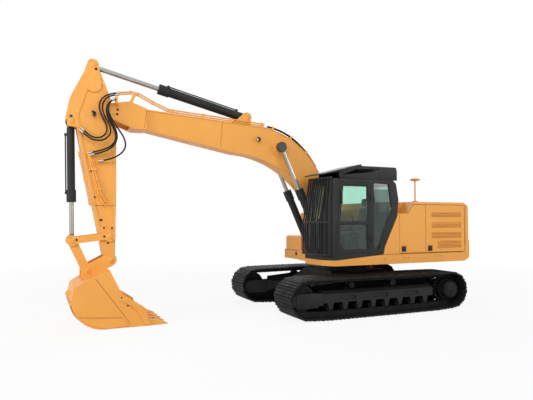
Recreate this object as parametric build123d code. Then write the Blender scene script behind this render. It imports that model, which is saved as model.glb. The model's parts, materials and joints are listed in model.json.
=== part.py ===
"""Crawler excavator of the 26 tonne class, standing with its bucket resting by the ground.

Lengths are in millimetres. The shapes are drawn with the slew axis at x = 0, y = 0 and the ground at
z = 0 (+X forward, +Y left, +Z up), then moved along X so that the origin is under the middle of the
whole machine.
"""
import os
from math import acos, atan2, cos, degrees, hypot, pi, radians, sin, tan

from build123d import *

os.makedirs("parts", exist_ok=True)

# Undercarriage.
TRACK_GAUGE = 2590.0
SHOE_WIDTH = 790.0
TUMBLER_SPAN = 3830.0
TUMBLER_Z = 440.0
END_RADIUS = 390.0
SHOE_COUNT = 50
GROUSER = 26.0
SHOE_PLATE = 14.0
LINK_HEIGHT = 95.0
LINK_RAIL = 45.0
LINK_GAP = 100.0
ROLLER_RADIUS = 85.0
ROLLER_COUNT = 8
CARRIER_RADIUS = 70.0
TOP_RUN_Z = 840.0
FRAME_HALF = 165.0
FRAME_LOW = 320.0
FRAME_TOP = 500.0
RING_RADIUS = 690.0
RING_Z = 965.0
RING_HEIGHT = 53.0
TOW_X = 830.0
TOW_RADIUS = 35.0
TOW_LOW = 455.0
TOW_PLATE = 60.0

# House.
HOUSE_HALF = 1390.0
TAIL_RADIUS = 3050.0
WEIGHT_SIDE = 135.0
WEIGHT_LOW = 1100.0
DECK_LOW = 1070.0
DECK_TOP = 1290.0
DECK_PLATE = 40.0
HOOD_TOP = 2480.0
HOUSE_FRONT = -600.0
DOOR_SEAM = -1372.0
NOTCH_FLOOR = 2210.0
PANEL = 45.0
SEAM = 6.0
HINGE_IN = 8.0
GRILLE_DEPTH = 22.0
TANK_INNER = 480.0

# Cab.
CAB_INNER = 450.0
CAB_WALL = 60.0
CAB_TOP = 2952.0
CAB_FRONT = 1300.0
CORNER_DEPTH = 310.0
GLASS = 8.0
GUARD_R = 13.0
GUARD_BARS = 11
GUARD_OFF = 90.0
CONSOLE = 120.0

# Front linkage.
FOOT_X = 169.0
FOOT_Z = 1900.0
BOOM_LENGTH = 5900.0
BOOM_ANGLE = 23.2
STICK_LENGTH = 2950.0
STICK_ANGLE = -90.3
BOOM_HALF = 195.0
STICK_HALF = 165.0
FLANGE_LIP = 24.0
FLANGE_STEP = 14.0
EAR_PLATE = 65.0
BOOM_CYLINDER_Y = 310.0
BUCKET_HALF = 680.0
BUCKET_SIDE = 40.0
TUBE_R = 16.0
HOSE_R = 16.0
COLLAR_R = 22.0
PIN_GAP = 0.3


def frame_2d(origin, angle):
    """A map from along and across to machine x and z."""
    c = cos(radians(angle))
    s = sin(radians(angle))
    return lambda u, v: (origin[0] + u * c - v * s, origin[1] + u * s + v * c)


FOOT = (FOOT_X, FOOT_Z)
boom_at = frame_2d(FOOT, BOOM_ANGLE)
STICK_PIN = boom_at(BOOM_LENGTH, 0.0)
stick_at = frame_2d(STICK_PIN, STICK_ANGLE)
BUCKET_PIN = stick_at(STICK_LENGTH, 0.0)
bucket_at = frame_2d(BUCKET_PIN, 0.0)

BOOM_ROD_PIN = boom_at(2262.0, 1011.0)
BOOM_BASE_PIN = (780.0, 1400.0)
STICK_BASE_PIN = boom_at(3240.0, 1300.0)
STICK_ROD_PIN = stick_at(-925.0, 345.0)
BUCKET_BASE_PIN = stick_at(220.0, 742.0)
LINK_PIVOT = stick_at(2482.0, 5.0)
LINK_PIN = stick_at(2560.0, 700.0)
BUCKET_LINK_PIN = bucket_at(433.0, -201.0)
LINK_BOSS = 105.0

SLEW_X = -(LINK_PIN[0] + LINK_BOSS - TAIL_RADIUS) / 2.0
MID = TRACK_GAUGE / 2.0
HALF_SPAN = TUMBLER_SPAN / 2.0
CORNER_X = -((TAIL_RADIUS**2 - HOUSE_HALF**2) ** 0.5)
HOUSE_REAR = CORNER_X + WEIGHT_SIDE


def wire_of(items, place):
    """A closed wire through 2-D points, with (mid, end) for an arc, set in space by place."""
    edges = []
    here = items[0]
    for item in list(items[1:]) + [items[0]]:
        if isinstance(item[0], tuple):
            mid, end = item
            edges.append(ThreePointArc(place(*here), place(*mid), place(*end)))
        else:
            end = item
            if hypot(end[0] - here[0], end[1] - here[1]) > 1e-6:
                edges.append(Line(place(*here), place(*end)))
        here = end
    return Wire(edges)


def side(items, y0, y1):
    """A prism across the machine, on an outline of (x, z) points and arcs."""
    face = Face(wire_of(items, lambda x, z: (x, y0, z)))
    return extrude(face, amount=y1 - y0, dir=(0, 1, 0))


def plan(items, z0, z1):
    """A prism upward, on an outline of (x, y) points and arcs."""
    face = Face(wire_of(items, lambda x, y: (x, y, z0)))
    return extrude(face, amount=z1 - z0, dir=(0, 0, 1))


def across(items, x0, x1):
    """A prism along the machine, on an outline of (y, z) points and arcs."""
    face = Face(wire_of(items, lambda y, z: (x0, y, z)))
    return extrude(face, amount=x1 - x0, dir=(1, 0, 0))


def panels(items, half):
    """What is cut from both side faces of a box beam to leave its top and bottom plates standing proud."""
    face = Face(wire_of(items, lambda x, z: (x, half - FLANGE_STEP, z)))
    left = extrude(
        offset(face, amount=-FLANGE_LIP, kind=Kind.INTERSECTION), amount=FLANGE_STEP + 1, dir=(0, 1, 0)
    )
    return both(left)


def block(x0, x1, y0, y1, z0, z1):
    return Pos((x0 + x1) / 2, (y0 + y1) / 2, (z0 + z1) / 2) * Box(x1 - x0, y1 - y0, z1 - z0)


def shaft(pin, radius, y0, y1):
    """A round bar across the machine at the (x, z) of a pin."""
    place = Plane(origin=(pin[0], y0, pin[1]), x_dir=(1, 0, 0), z_dir=(0, 1, 0))
    return place.location * Cylinder(radius, y1 - y0, align=(Align.CENTER, Align.CENTER, Align.MIN))


def wheel(pin, radius, y0, y1, sides):
    """A wheel across the machine with flats at this radius, one of them at its lowest point."""
    rim = radius / cos(pi / sides)
    turns = [2 * pi * (k + 0.5) / sides - pi / 2 for k in range(sides)]
    return side([(pin[0] + rim * cos(a), pin[1] + rim * sin(a)) for a in turns], y0, y1)


def bar(p, q, radius):
    """A round bar from one 3-D point to another."""
    along = Vector(*q) - Vector(*p)
    place = Plane(origin=p, z_dir=along)
    return place.location * Cylinder(radius, along.length, align=(Align.CENTER, Align.CENTER, Align.MIN))


def post(x, y, z0, z1, radius):
    return bar((x, y, z0), (x, y, z1), radius)


def pipe(points, radius):
    """A line of straight rigid tubes that meet at elbows."""
    line = bar(points[0], points[1], radius)
    for a, b, c in zip(points, points[1:], points[2:]):
        back = Vector(*b) - (Vector(*b) - Vector(*a)).normalized() * radius * 0.6
        line += bar(tuple(back), b, radius * 1.25)
        line += bar(b, c, radius) + bar(
            b, tuple(Vector(*b) + (Vector(*c) - Vector(*b)).normalized() * radius), radius * 1.25
        )
    return line


def link(p, rp, q, rq, y0, y1):
    """A plate with two round ends and straight tangent sides."""
    base = atan2(q[1] - p[1], q[0] - p[0])
    spread = acos((rp - rq) / hypot(q[0] - p[0], q[1] - p[1]))

    def rim(c, r, a):
        return (c[0] + r * cos(a), c[1] + r * sin(a))

    return side(
        [
            rim(p, rp, base - spread),
            rim(q, rq, base - spread),
            (rim(q, rq, base), rim(q, rq, base + spread)),
            rim(p, rp, base + spread),
            (rim(p, rp, base + pi), rim(p, rp, base - spread)),
        ],
        y0,
        y1,
    )


def ear(pin, radius, foot, base_z, y0, y1):
    """An upright plate with a round top on a pin, spreading to its foot (x0, x1) at base_z."""
    top = [(pin[0] + radius, pin[1]), ((pin[0], pin[1] + radius), (pin[0] - radius, pin[1]))]
    return side([(foot[0], base_z), (foot[1], base_z)] + top, y0, y1)


def inset(points, gap):
    """The outline moved inward by a gap; the points run anticlockwise."""
    moved = []
    count = len(points)
    for k in range(count):
        a, b, c = points[k - 1], points[k], points[(k + 1) % count]
        lab = hypot(b[0] - a[0], b[1] - a[1])
        lbc = hypot(c[0] - b[0], c[1] - b[1])
        n1 = (-(b[1] - a[1]) / lab, (b[0] - a[0]) / lab)
        n2 = (-(c[1] - b[1]) / lbc, (c[0] - b[0]) / lbc)
        scale = gap / (1.0 + n1[0] * n2[0] + n1[1] * n2[1])
        moved.append((b[0] + (n1[0] + n2[0]) * scale, b[1] + (n1[1] + n2[1]) * scale))
    return moved


def placed(items, place):
    """Points and arcs of an outline, moved by a 2-D frame."""
    return [
        tuple(place(*p) for p in item) if isinstance(item[0], tuple) else place(*item) for item in items
    ]


def both(shape):
    """The shape and its mirror image on the other side of the machine."""
    return [shape, mirror(shape, about=Plane.XZ)]


def solids_of(item):
    """All the solids of a shape, or of a list of shapes."""
    if isinstance(item, (list, tuple)):
        return [solid for part in item for solid in solids_of(part)]
    return list(item.solids())


def save(name, *shapes):
    solids = [Pos(SLEW_X, 0, 0) * solid for solid in solids_of(shapes)]
    whole = solids[0] if len(solids) == 1 else Compound(solids)
    export_step(whole, "parts/" + name + ".step")


# Tracks: each is one closed loop of shoes with three bars each, and two rails of links inside.
def loop_points(circles, count):
    """Points and outward normals, evenly spaced along the belt around the circles."""
    turns = []
    total = len(circles)
    for k in range(total):
        x0, z0, r0 = circles[k]
        x1, z1, r1 = circles[(k + 1) % total]
        turns.append(atan2(z1 - z0, x1 - x0) - acos((r0 - r1) / hypot(x1 - x0, z1 - z0)))
    runs = []
    for k in range(total):
        x0, z0, r0 = circles[k]
        x1, z1, r1 = circles[(k + 1) % total]
        n = turns[k]
        p = (x0 + r0 * cos(n), z0 + r0 * sin(n))
        q = (x1 + r1 * cos(n), z1 + r1 * sin(n))
        runs.append(("line", p, q, n, hypot(q[0] - p[0], q[1] - p[1])))
        swing = (turns[(k + 1) % total] - n) % (2 * pi)
        runs.append(("arc", (x1, z1, r1), n, swing, r1 * swing))
    length = sum(run[-1] for run in runs)
    points = []
    for k in range(count):
        left = length * k / count
        for run in runs:
            if left <= run[-1]:
                break
            left -= run[-1]
        if run[0] == "line":
            t = left / run[-1]
            n = run[3]
            x = run[1][0] + (run[2][0] - run[1][0]) * t
            z = run[1][1] + (run[2][1] - run[1][1]) * t
        else:
            (cx, cz, r), start = run[1], run[2]
            n = start + left / r
            x = cx + r * cos(n)
            z = cz + r * sin(n)
        points.append((x, z, cos(n), sin(n)))
    return points, length / count


BEND = 300.0
CARRIER_X = (700.0, -400.0)
belt, PITCH = loop_points(
    [
        (-HALF_SPAN * 0.76, GROUSER + BEND, BEND),
        (HALF_SPAN * 0.76, GROUSER + BEND, BEND),
        (HALF_SPAN, TUMBLER_Z, END_RADIUS),
        (CARRIER_X[0] + 100, TOP_RUN_Z - BEND, BEND),
        (CARRIER_X[1] - 100, TOP_RUN_Z - BEND, BEND),
        (-HALF_SPAN, TUMBLER_Z, END_RADIUS),
    ],
    SHOE_COUNT,
)
SHOE_FORM = (
    (0.0, 0.0), (0.04, 1.0), (0.16, 1.0), (0.30, 0.1), (0.44, 1.0),
    (0.56, 1.0), (0.70, 0.1), (0.84, 1.0), (0.96, 1.0),
)
tread = []
for k in range(SHOE_COUNT):
    ax, az = belt[k][:2]
    bx, bz = belt[(k + 1) % SHOE_COUNT][:2]
    span = hypot(bx - ax, bz - az)
    ex, ez = (bx - ax) / span, (bz - az) / span
    for along, high in SHOE_FORM:
        tread.append(
            (ax + ex * span * along + ez * GROUSER * high, az + ez * span * along - ex * GROUSER * high)
        )


def inner_loop(depth):
    return [(x - nx * depth, z - nz * depth) for x, z, nx, nz in belt]


RAIL_DEPTH = SHOE_PLATE + LINK_HEIGHT
shoe_y = MID - SHOE_WIDTH / 2
shoes = side(tread, shoe_y, shoe_y + SHOE_WIDTH) - side(
    inner_loop(SHOE_PLATE), shoe_y - 1, shoe_y + SHOE_WIDTH + 1
)
for rail_y in (MID - LINK_GAP / 2 - LINK_RAIL, MID + LINK_GAP / 2):
    rail = side(inner_loop(SHOE_PLATE), rail_y, rail_y + LINK_RAIL)
    shoes += rail - side(inner_loop(RAIL_DEPTH), rail_y - 1, rail_y + LINK_RAIL + 1)
save("track_left", shoes)
save("track_right", mirror(shoes, about=Plane.XZ))

# Wheels inside the tracks.
TREAD_RADIUS = (END_RADIUS - RAIL_DEPTH) * cos(PITCH / 2 / END_RADIUS) - PIN_GAP
WHEEL_HALF = LINK_GAP / 2 + LINK_RAIL + 10
FLANGE_HALF = LINK_GAP / 2 - 8
IDLER_SHAFT = 60.0
PLATE_Y = 120.0
idler_pin = (HALF_SPAN, TUMBLER_Z)
WHEEL_SIDES = 32
idler_rim = TREAD_RADIUS * cos(pi / WHEEL_SIDES)
idler = wheel(idler_pin, idler_rim, MID - WHEEL_HALF, MID + WHEEL_HALF, WHEEL_SIDES)
for y0 in (MID - WHEEL_HALF - 1, MID + WHEEL_HALF - 25):
    idler -= wheel(
        idler_pin, idler_rim - 60, y0, y0 + 26, WHEEL_SIDES
    ) - wheel(idler_pin, 105, y0, y0 + 26, 16)
idler += wheel(idler_pin, idler_rim + 30, MID - FLANGE_HALF, MID + FLANGE_HALF, WHEEL_SIDES)
idler += shaft(idler_pin, IDLER_SHAFT, MID - PLATE_Y, MID + PLATE_Y)
save("idlers", both(idler))

drive_pin = (-HALF_SPAN, TUMBLER_Z)
TOOTH_TIP = TREAD_RADIUS + 55
TOOTH_ROOT = TREAD_RADIUS + 5
TEETH = 23
HUB_RADIUS = 120.0
MOTOR_RADIUS = 190.0
rim = []
for k in range(TEETH):
    for turn, radius in ((-0.30, TOOTH_ROOT), (-0.12, TOOTH_TIP), (0.12, TOOTH_TIP), (0.30, TOOTH_ROOT)):
        a = 2 * pi * (k + turn) / TEETH
        rim.append((drive_pin[0] + radius * cos(a), drive_pin[1] + radius * sin(a)))
DRIVE_FACE = MID + 310
cover = [(0, 0), (235, 0), (235, 258), (205, 258), (200, 400), (170, 428), (0, 428)]
hub = Face(wire_of(cover, lambda r, t: (drive_pin[0] + r, MID - 118 + t, drive_pin[1])))
hub_axis = Axis((drive_pin[0], MID, drive_pin[1]), (0, 1, 0))
drive = side(rim, MID - FLANGE_HALF, MID + FLANGE_HALF) + revolve(hub, axis=hub_axis)
drive += wheel(drive_pin, MOTOR_RADIUS, MID - 300, MID - FRAME_HALF, 20)
drive += wheel(drive_pin, HUB_RADIUS, MID - FRAME_HALF, MID - 118, 20)
save("drive_sprockets", both(drive))

roller_z = GROUSER + RAIL_DEPTH + ROLLER_RADIUS + PIN_GAP
roller_step = TUMBLER_SPAN * 0.66 / (ROLLER_COUNT - 1)
ROLLER_X = [(k - (ROLLER_COUNT - 1) / 2) * roller_step for k in range(ROLLER_COUNT)]
ROLLER_PAD = 25.0
CARRIER_ARM = 40.0
rollers = []
for x in ROLLER_X:
    roller = wheel((x, roller_z), ROLLER_RADIUS, MID - WHEEL_HALF, MID + WHEEL_HALF, 14)
    half = FRAME_HALF - ROLLER_PAD
    rollers.append(roller + wheel((x, roller_z), 34, MID - half, MID + half, 8))
carrier_z = TOP_RUN_Z - RAIL_DEPTH - CARRIER_RADIUS - PIN_GAP
for x in CARRIER_X:
    carrier = wheel((x, carrier_z), CARRIER_RADIUS, MID - WHEEL_HALF, MID + WHEEL_HALF, 14)
    rollers.append(carrier + wheel((x, carrier_z), 30, MID - FRAME_HALF + CARRIER_ARM, MID, 8))
save("rollers", [both(roller) for roller in rollers])

# Track frames, each with its roller pads, its idler yoke and the plate of its final drive.
YOKE_PLATE = 45.0
FRAME_FRONT = HALF_SPAN - 465
FRAME_BACK = -HALF_SPAN + 435
beam = [
    (MID - FRAME_HALF, FRAME_LOW), (MID + FRAME_HALF, FRAME_LOW), (MID + FRAME_HALF, FRAME_TOP),
    (MID + 60, FRAME_TOP + 60), (MID - 60, FRAME_TOP + 60), (MID - FRAME_HALF, FRAME_TOP),
]
frame = across(beam, FRAME_BACK, FRAME_FRONT)
for x in ROLLER_X:
    for y in (MID - FRAME_HALF, MID + FRAME_HALF - ROLLER_PAD):
        pad = [
            (x - 45, roller_z - 40), (x + 45, roller_z - 40), (x + 75, FRAME_LOW + 5),
            (x - 75, FRAME_LOW + 5)
        ]
        frame += side(pad, y, y + ROLLER_PAD)
yoke = [
    (FRAME_FRONT - 10, 275), (HALF_SPAN + 190, 275), (HALF_SPAN + 245, 330), (HALF_SPAN + 245, 470),
    (HALF_SPAN + 190, 525), (FRAME_FRONT - 10, 525),
]
for y in (MID - FRAME_HALF, MID + FRAME_HALF - YOKE_PLATE):
    frame += side(yoke, y, y + YOKE_PLATE)
slot = [(-170, -45), (170, -45), ((215, 0), (170, 45)), (-170, 45), ((-215, 0), (-170, -45))]
for x in (-850.0, 0.0, 850.0):
    slot_at = frame_2d((x, (FRAME_LOW + FRAME_TOP) / 2), 0.0)
    frame -= side(placed(slot, slot_at), MID + FRAME_HALF - 30, MID + FRAME_HALF + 1)
for x in CARRIER_X:
    arm = [
        (x - 70, FRAME_TOP - 5), (x + 70, FRAME_TOP - 5), (x + 45, carrier_z),
        ((x, carrier_z + 45), (x - 45, carrier_z)),
    ]
    frame += side(arm, MID - FRAME_HALF, MID - FRAME_HALF + CARRIER_ARM)
drive_plate = [
    (FRAME_BACK + 10, FRAME_LOW - 20), (FRAME_BACK + 10, FRAME_TOP + 40), (-HALF_SPAN, TUMBLER_Z + 215),
    ((-HALF_SPAN - 215, TUMBLER_Z), (-HALF_SPAN, TUMBLER_Z - 215)),
]
frame += side(drive_plate, MID - FRAME_HALF, MID - PLATE_Y)
frame -= wheel(drive_pin, HUB_RADIUS + PIN_GAP, MID - FRAME_HALF - 1, MID - PLATE_Y + 1, 20)
frame -= shaft(idler_pin, IDLER_SHAFT + PIN_GAP, MID - FRAME_HALF - 1, MID + FRAME_HALF + 1)
save("track_frame_left", frame)
save("track_frame_right", mirror(frame, about=Plane.XZ))

# Carbody: four legs that taper from the middle box to the track frames, under the slew ring.
INNER = MID - FRAME_HALF
BOX_HALF = 620.0
LEG_FOOT = (420.0, 960.0, 400.0, 520.0)
LEG_ROOT = (250.0, 740.0, TOW_LOW, 880.0)
carbody = block(-740, 740, -BOX_HALF, BOX_HALF, TOW_LOW, 880)
carbody -= block(-260, 260, -BOX_HALF - 1, BOX_HALF + 1, TOW_LOW - 1, 560)


def leg_section(sizes, y):
    x0, x1, z0, z1 = sizes
    return wire_of([(x0, z0), (x1, z0), (x1, z1), (x0, z1)], lambda x, z: (x, y, z))


leg = Solid.make_loft([leg_section(LEG_ROOT, BOX_HALF - 5), leg_section(LEG_FOOT, INNER)], True)
for piece in both(leg):
    carbody += piece
    carbody += mirror(piece, about=Plane.YZ)
carbody += plan(
    [(RING_RADIUS * cos(pi * k / 12), RING_RADIUS * sin(pi * k / 12)) for k in range(24)], 870, RING_Z
)
for way in (1, -1):
    near, far = sorted((way * 700, way * TOW_X))
    lug = block(near, far, -85, 85, TOW_LOW, TOW_LOW + TOW_PLATE)
    carbody += lug + post(way * TOW_X, 0, TOW_LOW, TOW_LOW + TOW_PLATE, 85)
    carbody -= post(way * TOW_X, 0, TOW_LOW - 1, TOW_LOW + TOW_PLATE + 1, TOW_RADIUS)
save("carbody", carbody)
save("slew_ring", post(0, 0, RING_Z, RING_Z + RING_HEIGHT, RING_RADIUS))

# Upper frame: a deck with deep edges, open below, and the plates that carry the boom and its cylinders.
TOOL_FRONT = 930.0
deck_outline = [
    (1105, HOUSE_HALF), (HOUSE_REAR, HOUSE_HALF), (HOUSE_REAR, -HOUSE_HALF), (TOOL_FRONT, -HOUSE_HALF),
    (TOOL_FRONT, -TANK_INNER), (1000, -CAB_INNER), (1000, CAB_INNER), (CAB_FRONT + 20, CAB_INNER),
    (CAB_FRONT - 10, HOUSE_HALF - CORNER_DEPTH + 40),
]
EDGE = 70.0
upper = plan(deck_outline, DECK_LOW, DECK_TOP)
bays = [
    (HOUSE_REAR + EDGE, -RING_RADIUS - 120, 120, HOUSE_HALF - EDGE),
    (-RING_RADIUS - 50, 1000, RING_RADIUS + 60, HOUSE_HALF - EDGE),
]
for x0, x1, y0, y1 in bays:
    upper -= block(x0, x1, y0, y1, DECK_LOW - 1, DECK_TOP - DECK_PLATE)
    upper -= block(x0, min(x1, TOOL_FRONT - EDGE), -y1, -y0, DECK_LOW - 1, DECK_TOP - DECK_PLATE)
ring_top = RING_Z + RING_HEIGHT + PIN_GAP
seat_ring = [
    ((RING_RADIUS - 10) * cos(pi * k / 12), (RING_RADIUS - 10) * sin(pi * k / 12)) for k in range(24)
]
upper += plan(seat_ring, ring_top, DECK_LOW + 5)
EAR_IN = BOOM_HALF + 10
for piece in both(ear(FOOT, 190, (-420, 560), DECK_TOP - 5, EAR_IN, EAR_IN + EAR_PLATE)):
    upper += piece
BARREL_HALF = 50.2
BASE_EARS = (
    (BOOM_CYLINDER_Y - BARREL_HALF - PIN_GAP - 47.5, BOOM_CYLINDER_Y - BARREL_HALF - PIN_GAP),
    (BOOM_CYLINDER_Y + BARREL_HALF + PIN_GAP, BOOM_CYLINDER_Y + BARREL_HALF + PIN_GAP + 41.5),
)
for y0, y1 in BASE_EARS:
    foot = (BOOM_BASE_PIN[0] - 150, BOOM_BASE_PIN[0] + 150)
    for piece in both(ear(BOOM_BASE_PIN, 105, foot, DECK_TOP - 5, y0, y1)):
        upper += piece
DOOR_LOW = DECK_TOP + 12
FRONT_DOOR = (DOOR_SEAM + SEAM, HOUSE_FRONT - 8)
REAR_DOOR = (HOUSE_REAR + 12, DOOR_SEAM - SEAM)
HINGE_PIN = 6.0
for x in (FRONT_DOOR[0] + HINGE_IN, REAR_DOOR[0] + HINGE_IN):
    for y in (HOUSE_HALF - HINGE_IN, HINGE_IN - HOUSE_HALF):
        upper += post(x, y, DECK_TOP - 5, DOOR_LOW - PIN_GAP, HINGE_PIN)
save("upper_frame", upper)

# Counterweight: a profile turned about the slew axis, cut off at the house's sides.
WEIGHT_TOP = HOOD_TOP - 30
weight_front = HOUSE_REAR - PIN_GAP
weight_profile = [
    (-weight_front - 60, WEIGHT_LOW), (TAIL_RADIUS - 70, WEIGHT_LOW), (TAIL_RADIUS, WEIGHT_LOW + 70),
    (TAIL_RADIUS, 1560), (TAIL_RADIUS - 22, 1582), (TAIL_RADIUS - 22, WEIGHT_TOP - 160),
    (
        (TAIL_RADIUS - 50, WEIGHT_TOP - 40), (TAIL_RADIUS - 170, WEIGHT_TOP)
    ), (-weight_front - 60, WEIGHT_TOP),
]
weight_face = Face(wire_of(weight_profile, lambda r, z: (r, 0, z)))
turned = Rot(0, 0, 120) * revolve(weight_face, axis=Axis.Z, revolution_arc=120)
counterweight = turned & block(
    -TAIL_RADIUS - 10, weight_front, -HOUSE_HALF, HOUSE_HALF, WEIGHT_LOW - 10, WEIGHT_TOP + 10
)
save("counterweight", counterweight)

# Engine house: a shell with doors over both sides and a lid in the roof.
SHELL_HALF = HOUSE_HALF - PANEL - 7
SHELL_WALL = 40.0
NOTCH_Y = HOUSE_HALF - 390
ROOF_EDGE = HOOD_TOP - 60
ROOF_ROUND = 34.0
LID = (HOUSE_REAR + 80, DOOR_SEAM - 128, -850.0, 850.0)
DOOR_TOP = ROOF_EDGE - 8
NOTCH_X = (HOUSE_FRONT - 264, HOUSE_FRONT - 485)
notch = [
    (HOUSE_FRONT + 5, HOOD_TOP + 100), (HOUSE_FRONT + 5, NOTCH_FLOOR), (NOTCH_X[0], NOTCH_FLOOR),
    (NOTCH_X[1], HOOD_TOP - 5), (NOTCH_X[1], HOOD_TOP + 100),
]
notched_door = [
    (FRONT_DOOR[0], DOOR_LOW), (FRONT_DOOR[1], DOOR_LOW), (FRONT_DOOR[1], NOTCH_FLOOR - 12),
    (NOTCH_X[0] - 5, NOTCH_FLOOR - 12), (NOTCH_X[1] + 39, DOOR_TOP), (FRONT_DOOR[0], DOOR_TOP),
]


def door_shape(span):
    return [(span[0], DOOR_LOW), (span[1], DOOR_LOW), (span[1], DOOR_TOP), (span[0], DOOR_TOP)]


def leaf(items):
    """A service door on the left side, its outer edge dressed round and a latch hollow low at its front."""
    door = side(items, HOUSE_HALF - PANEL, HOUSE_HALF)
    outer = door.faces().sort_by(Axis.Y)[-1]
    door = chamfer(outer.edges(), 8)
    return door - block(
        items[1][0] - 190, items[1][0] - 40, HOUSE_HALF - 14, HOUSE_HALF + 1, DOOR_LOW + 30, DOOR_LOW + 170
    )


roof_profile = [
    (-HOUSE_HALF, ROOF_EDGE), (HOUSE_HALF, ROOF_EDGE), (HOUSE_HALF, HOOD_TOP - ROOF_ROUND),
    (
        (HOUSE_HALF - 10, HOOD_TOP - 10), (HOUSE_HALF - ROOF_ROUND, HOOD_TOP)
    ), (ROOF_ROUND - HOUSE_HALF, HOOD_TOP),
    ((10 - HOUSE_HALF, HOOD_TOP - 10), (-HOUSE_HALF, HOOD_TOP - ROOF_ROUND)),
]
shell = block(HOUSE_REAR, HOUSE_FRONT, -SHELL_HALF, SHELL_HALF, DECK_TOP, ROOF_EDGE + 5)
shell += across(roof_profile, HOUSE_REAR, HOUSE_FRONT)
shell -= block(
    HOUSE_REAR - 1, HOUSE_FRONT - PANEL, SHELL_WALL - SHELL_HALF, SHELL_HALF - SHELL_WALL,
    DECK_TOP - 1, HOOD_TOP - PANEL
)
shell += block(
    NOTCH_X[1] - 65, HOUSE_FRONT - 5, NOTCH_Y - 30, SHELL_HALF - 5, NOTCH_FLOOR - 30, HOOD_TOP - 5
)
shell -= side(notch, NOTCH_Y, HOUSE_HALF + 5)
for shape in (notched_door, door_shape(REAR_DOOR)):
    shell -= side(inset(shape, 45), SHELL_HALF - 45, HOUSE_HALF)
for shape in (door_shape(FRONT_DOOR), door_shape(REAR_DOOR)):
    shell -= side(inset(shape, 45), -HOUSE_HALF, 45 - SHELL_HALF)
shell -= block(
    LID[0] - SEAM, LID[1] + SEAM, LID[2] - SEAM, LID[3] + SEAM, HOOD_TOP - PANEL - 5, HOOD_TOP + 5
)
for x in (FRONT_DOOR[0] + HINGE_IN, REAR_DOOR[0] + HINGE_IN):
    for y in (HOUSE_HALF - HINGE_IN, HINGE_IN - HOUSE_HALF):
        shell += post(x, y, DOOR_TOP + PIN_GAP, ROOF_EDGE + 5, HINGE_PIN)
LID_RISE = 14.0
lid = block(LID[0], LID[1], LID[2], LID[3], HOOD_TOP - PANEL, HOOD_TOP)
raised = block(LID[0] + 60, LID[1] - 90, LID[2] + 60, LID[3] - 60, HOOD_TOP - 1, HOOD_TOP + LID_RISE)
lid += chamfer(raised.faces().sort_by(Axis.Z)[-1].edges(), LID_RISE - 2)
LID_HINGE = (LID[1] + SEAM, HOOD_TOP + 12)
for y in (-500.0, 400.0):
    shell += shaft(LID_HINGE, 11, y, y + 50)
    shell += block(LID_HINGE[0], LID_HINGE[0] + 45, y, y + 50, HOOD_TOP - 5, LID_HINGE[1])
    strap = y + 50 + PIN_GAP
    lid += shaft(LID_HINGE, 11, strap, strap + 50)
    lid += block(LID_HINGE[0] - 60, LID_HINGE[0], strap, strap + 50, HOOD_TOP - 1, LID_HINGE[1] + 11)
save("engine_house", shell)
save("hood_lid", lid)

# The left rear door has four bands of louvres in front of the cooler.
GRILLE_BANDS = (
    (2130.0, 2230.0, 162.0), (1875.0, 2000.0, 162.0), (1630.0, 1760.0, 162.0), (1400.0, 1560.0, 337.0)
)
SLAT_PITCH = 32.0
cooler_door = leaf(door_shape(REAR_DOOR))
for low, high, front in GRILLE_BANDS:
    x0, x1 = REAR_DOOR[0] + 110, REAR_DOOR[1] - front
    cooler_door -= block(x0, x1, HOUSE_HALF - GRILLE_DEPTH, HOUSE_HALF + 1, low, high)
    for k in range(int((high - low) / SLAT_PITCH)):
        z = low + SLAT_PITCH * (k + 0.75)
        slat = [
            (HOUSE_HALF - GRILLE_DEPTH - 1, z + 6), (
                HOUSE_HALF - GRILLE_DEPTH - 1, z + 14
            ), (HOUSE_HALF - 2, z),
            (HOUSE_HALF - 2, z - 8),
        ]
        cooler_door += across(slat, x0 - 1, x1 + 1)
save("left_rear_door", cooler_door)
save("left_front_door", leaf(notched_door))
save("right_front_door", mirror(leaf(door_shape(FRONT_DOOR)), about=Plane.XZ))
save("right_rear_door", mirror(leaf(door_shape(REAR_DOOR)), about=Plane.XZ))
save("engine", block(HOUSE_REAR + 230, HOUSE_REAR + 880, -520, 520, DECK_TOP, HOOD_TOP - 330))

# Fixed panel between the cab and the left doors.
panel_shape = [
    (HOUSE_FRONT + 4, DECK_TOP), (-165, DECK_TOP), (-195, 1454), (-548, 2140), (-560, NOTCH_FLOOR - 12),
    (HOUSE_FRONT + 4, NOTCH_FLOOR - 12),
]
save("left_panel", side(panel_shape, HOUSE_HALF - PANEL, HOUSE_HALF))

# Tanks and the tool box on the right, with rounded tops.
TANK_ROUND = 45.0
TANK_FRONT = 470.0
TANK_SPLIT = -60.0
FUEL_TOP = 2250.0
OIL_TOP = 2330.0


def tank(x0, x1, y_out, top, radius):
    """A tank standing on the deck, its upper edges and outer corners rounded."""
    body = block(x0, x1, y_out, -TANK_INNER, DECK_TOP, top)
    edges = body.faces().sort_by(Axis.Z)[-1].edges()
    upright = body.edges().filter_by(Axis.Z).sort_by(Axis.Y)[:2]
    return fillet(edges + upright, radius)


save("fuel_tank", tank(TANK_SPLIT, TANK_FRONT, -HOUSE_HALF, FUEL_TOP, TANK_ROUND))
save("hydraulic_tank", tank(HOUSE_FRONT + 8, TANK_SPLIT - SEAM, -HOUSE_HALF, OIL_TOP, TANK_ROUND))
TOOL_TOP = 1660.0
tool_box = tank(TANK_FRONT + 10, TOOL_FRONT, 40 - HOUSE_HALF, TOOL_TOP, 70)
tool_box -= bar((TOOL_FRONT + 1, -760, DECK_TOP + 75), (TOOL_FRONT - 40, -760, DECK_TOP + 75), 36)
save("tool_box", tool_box)

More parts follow.
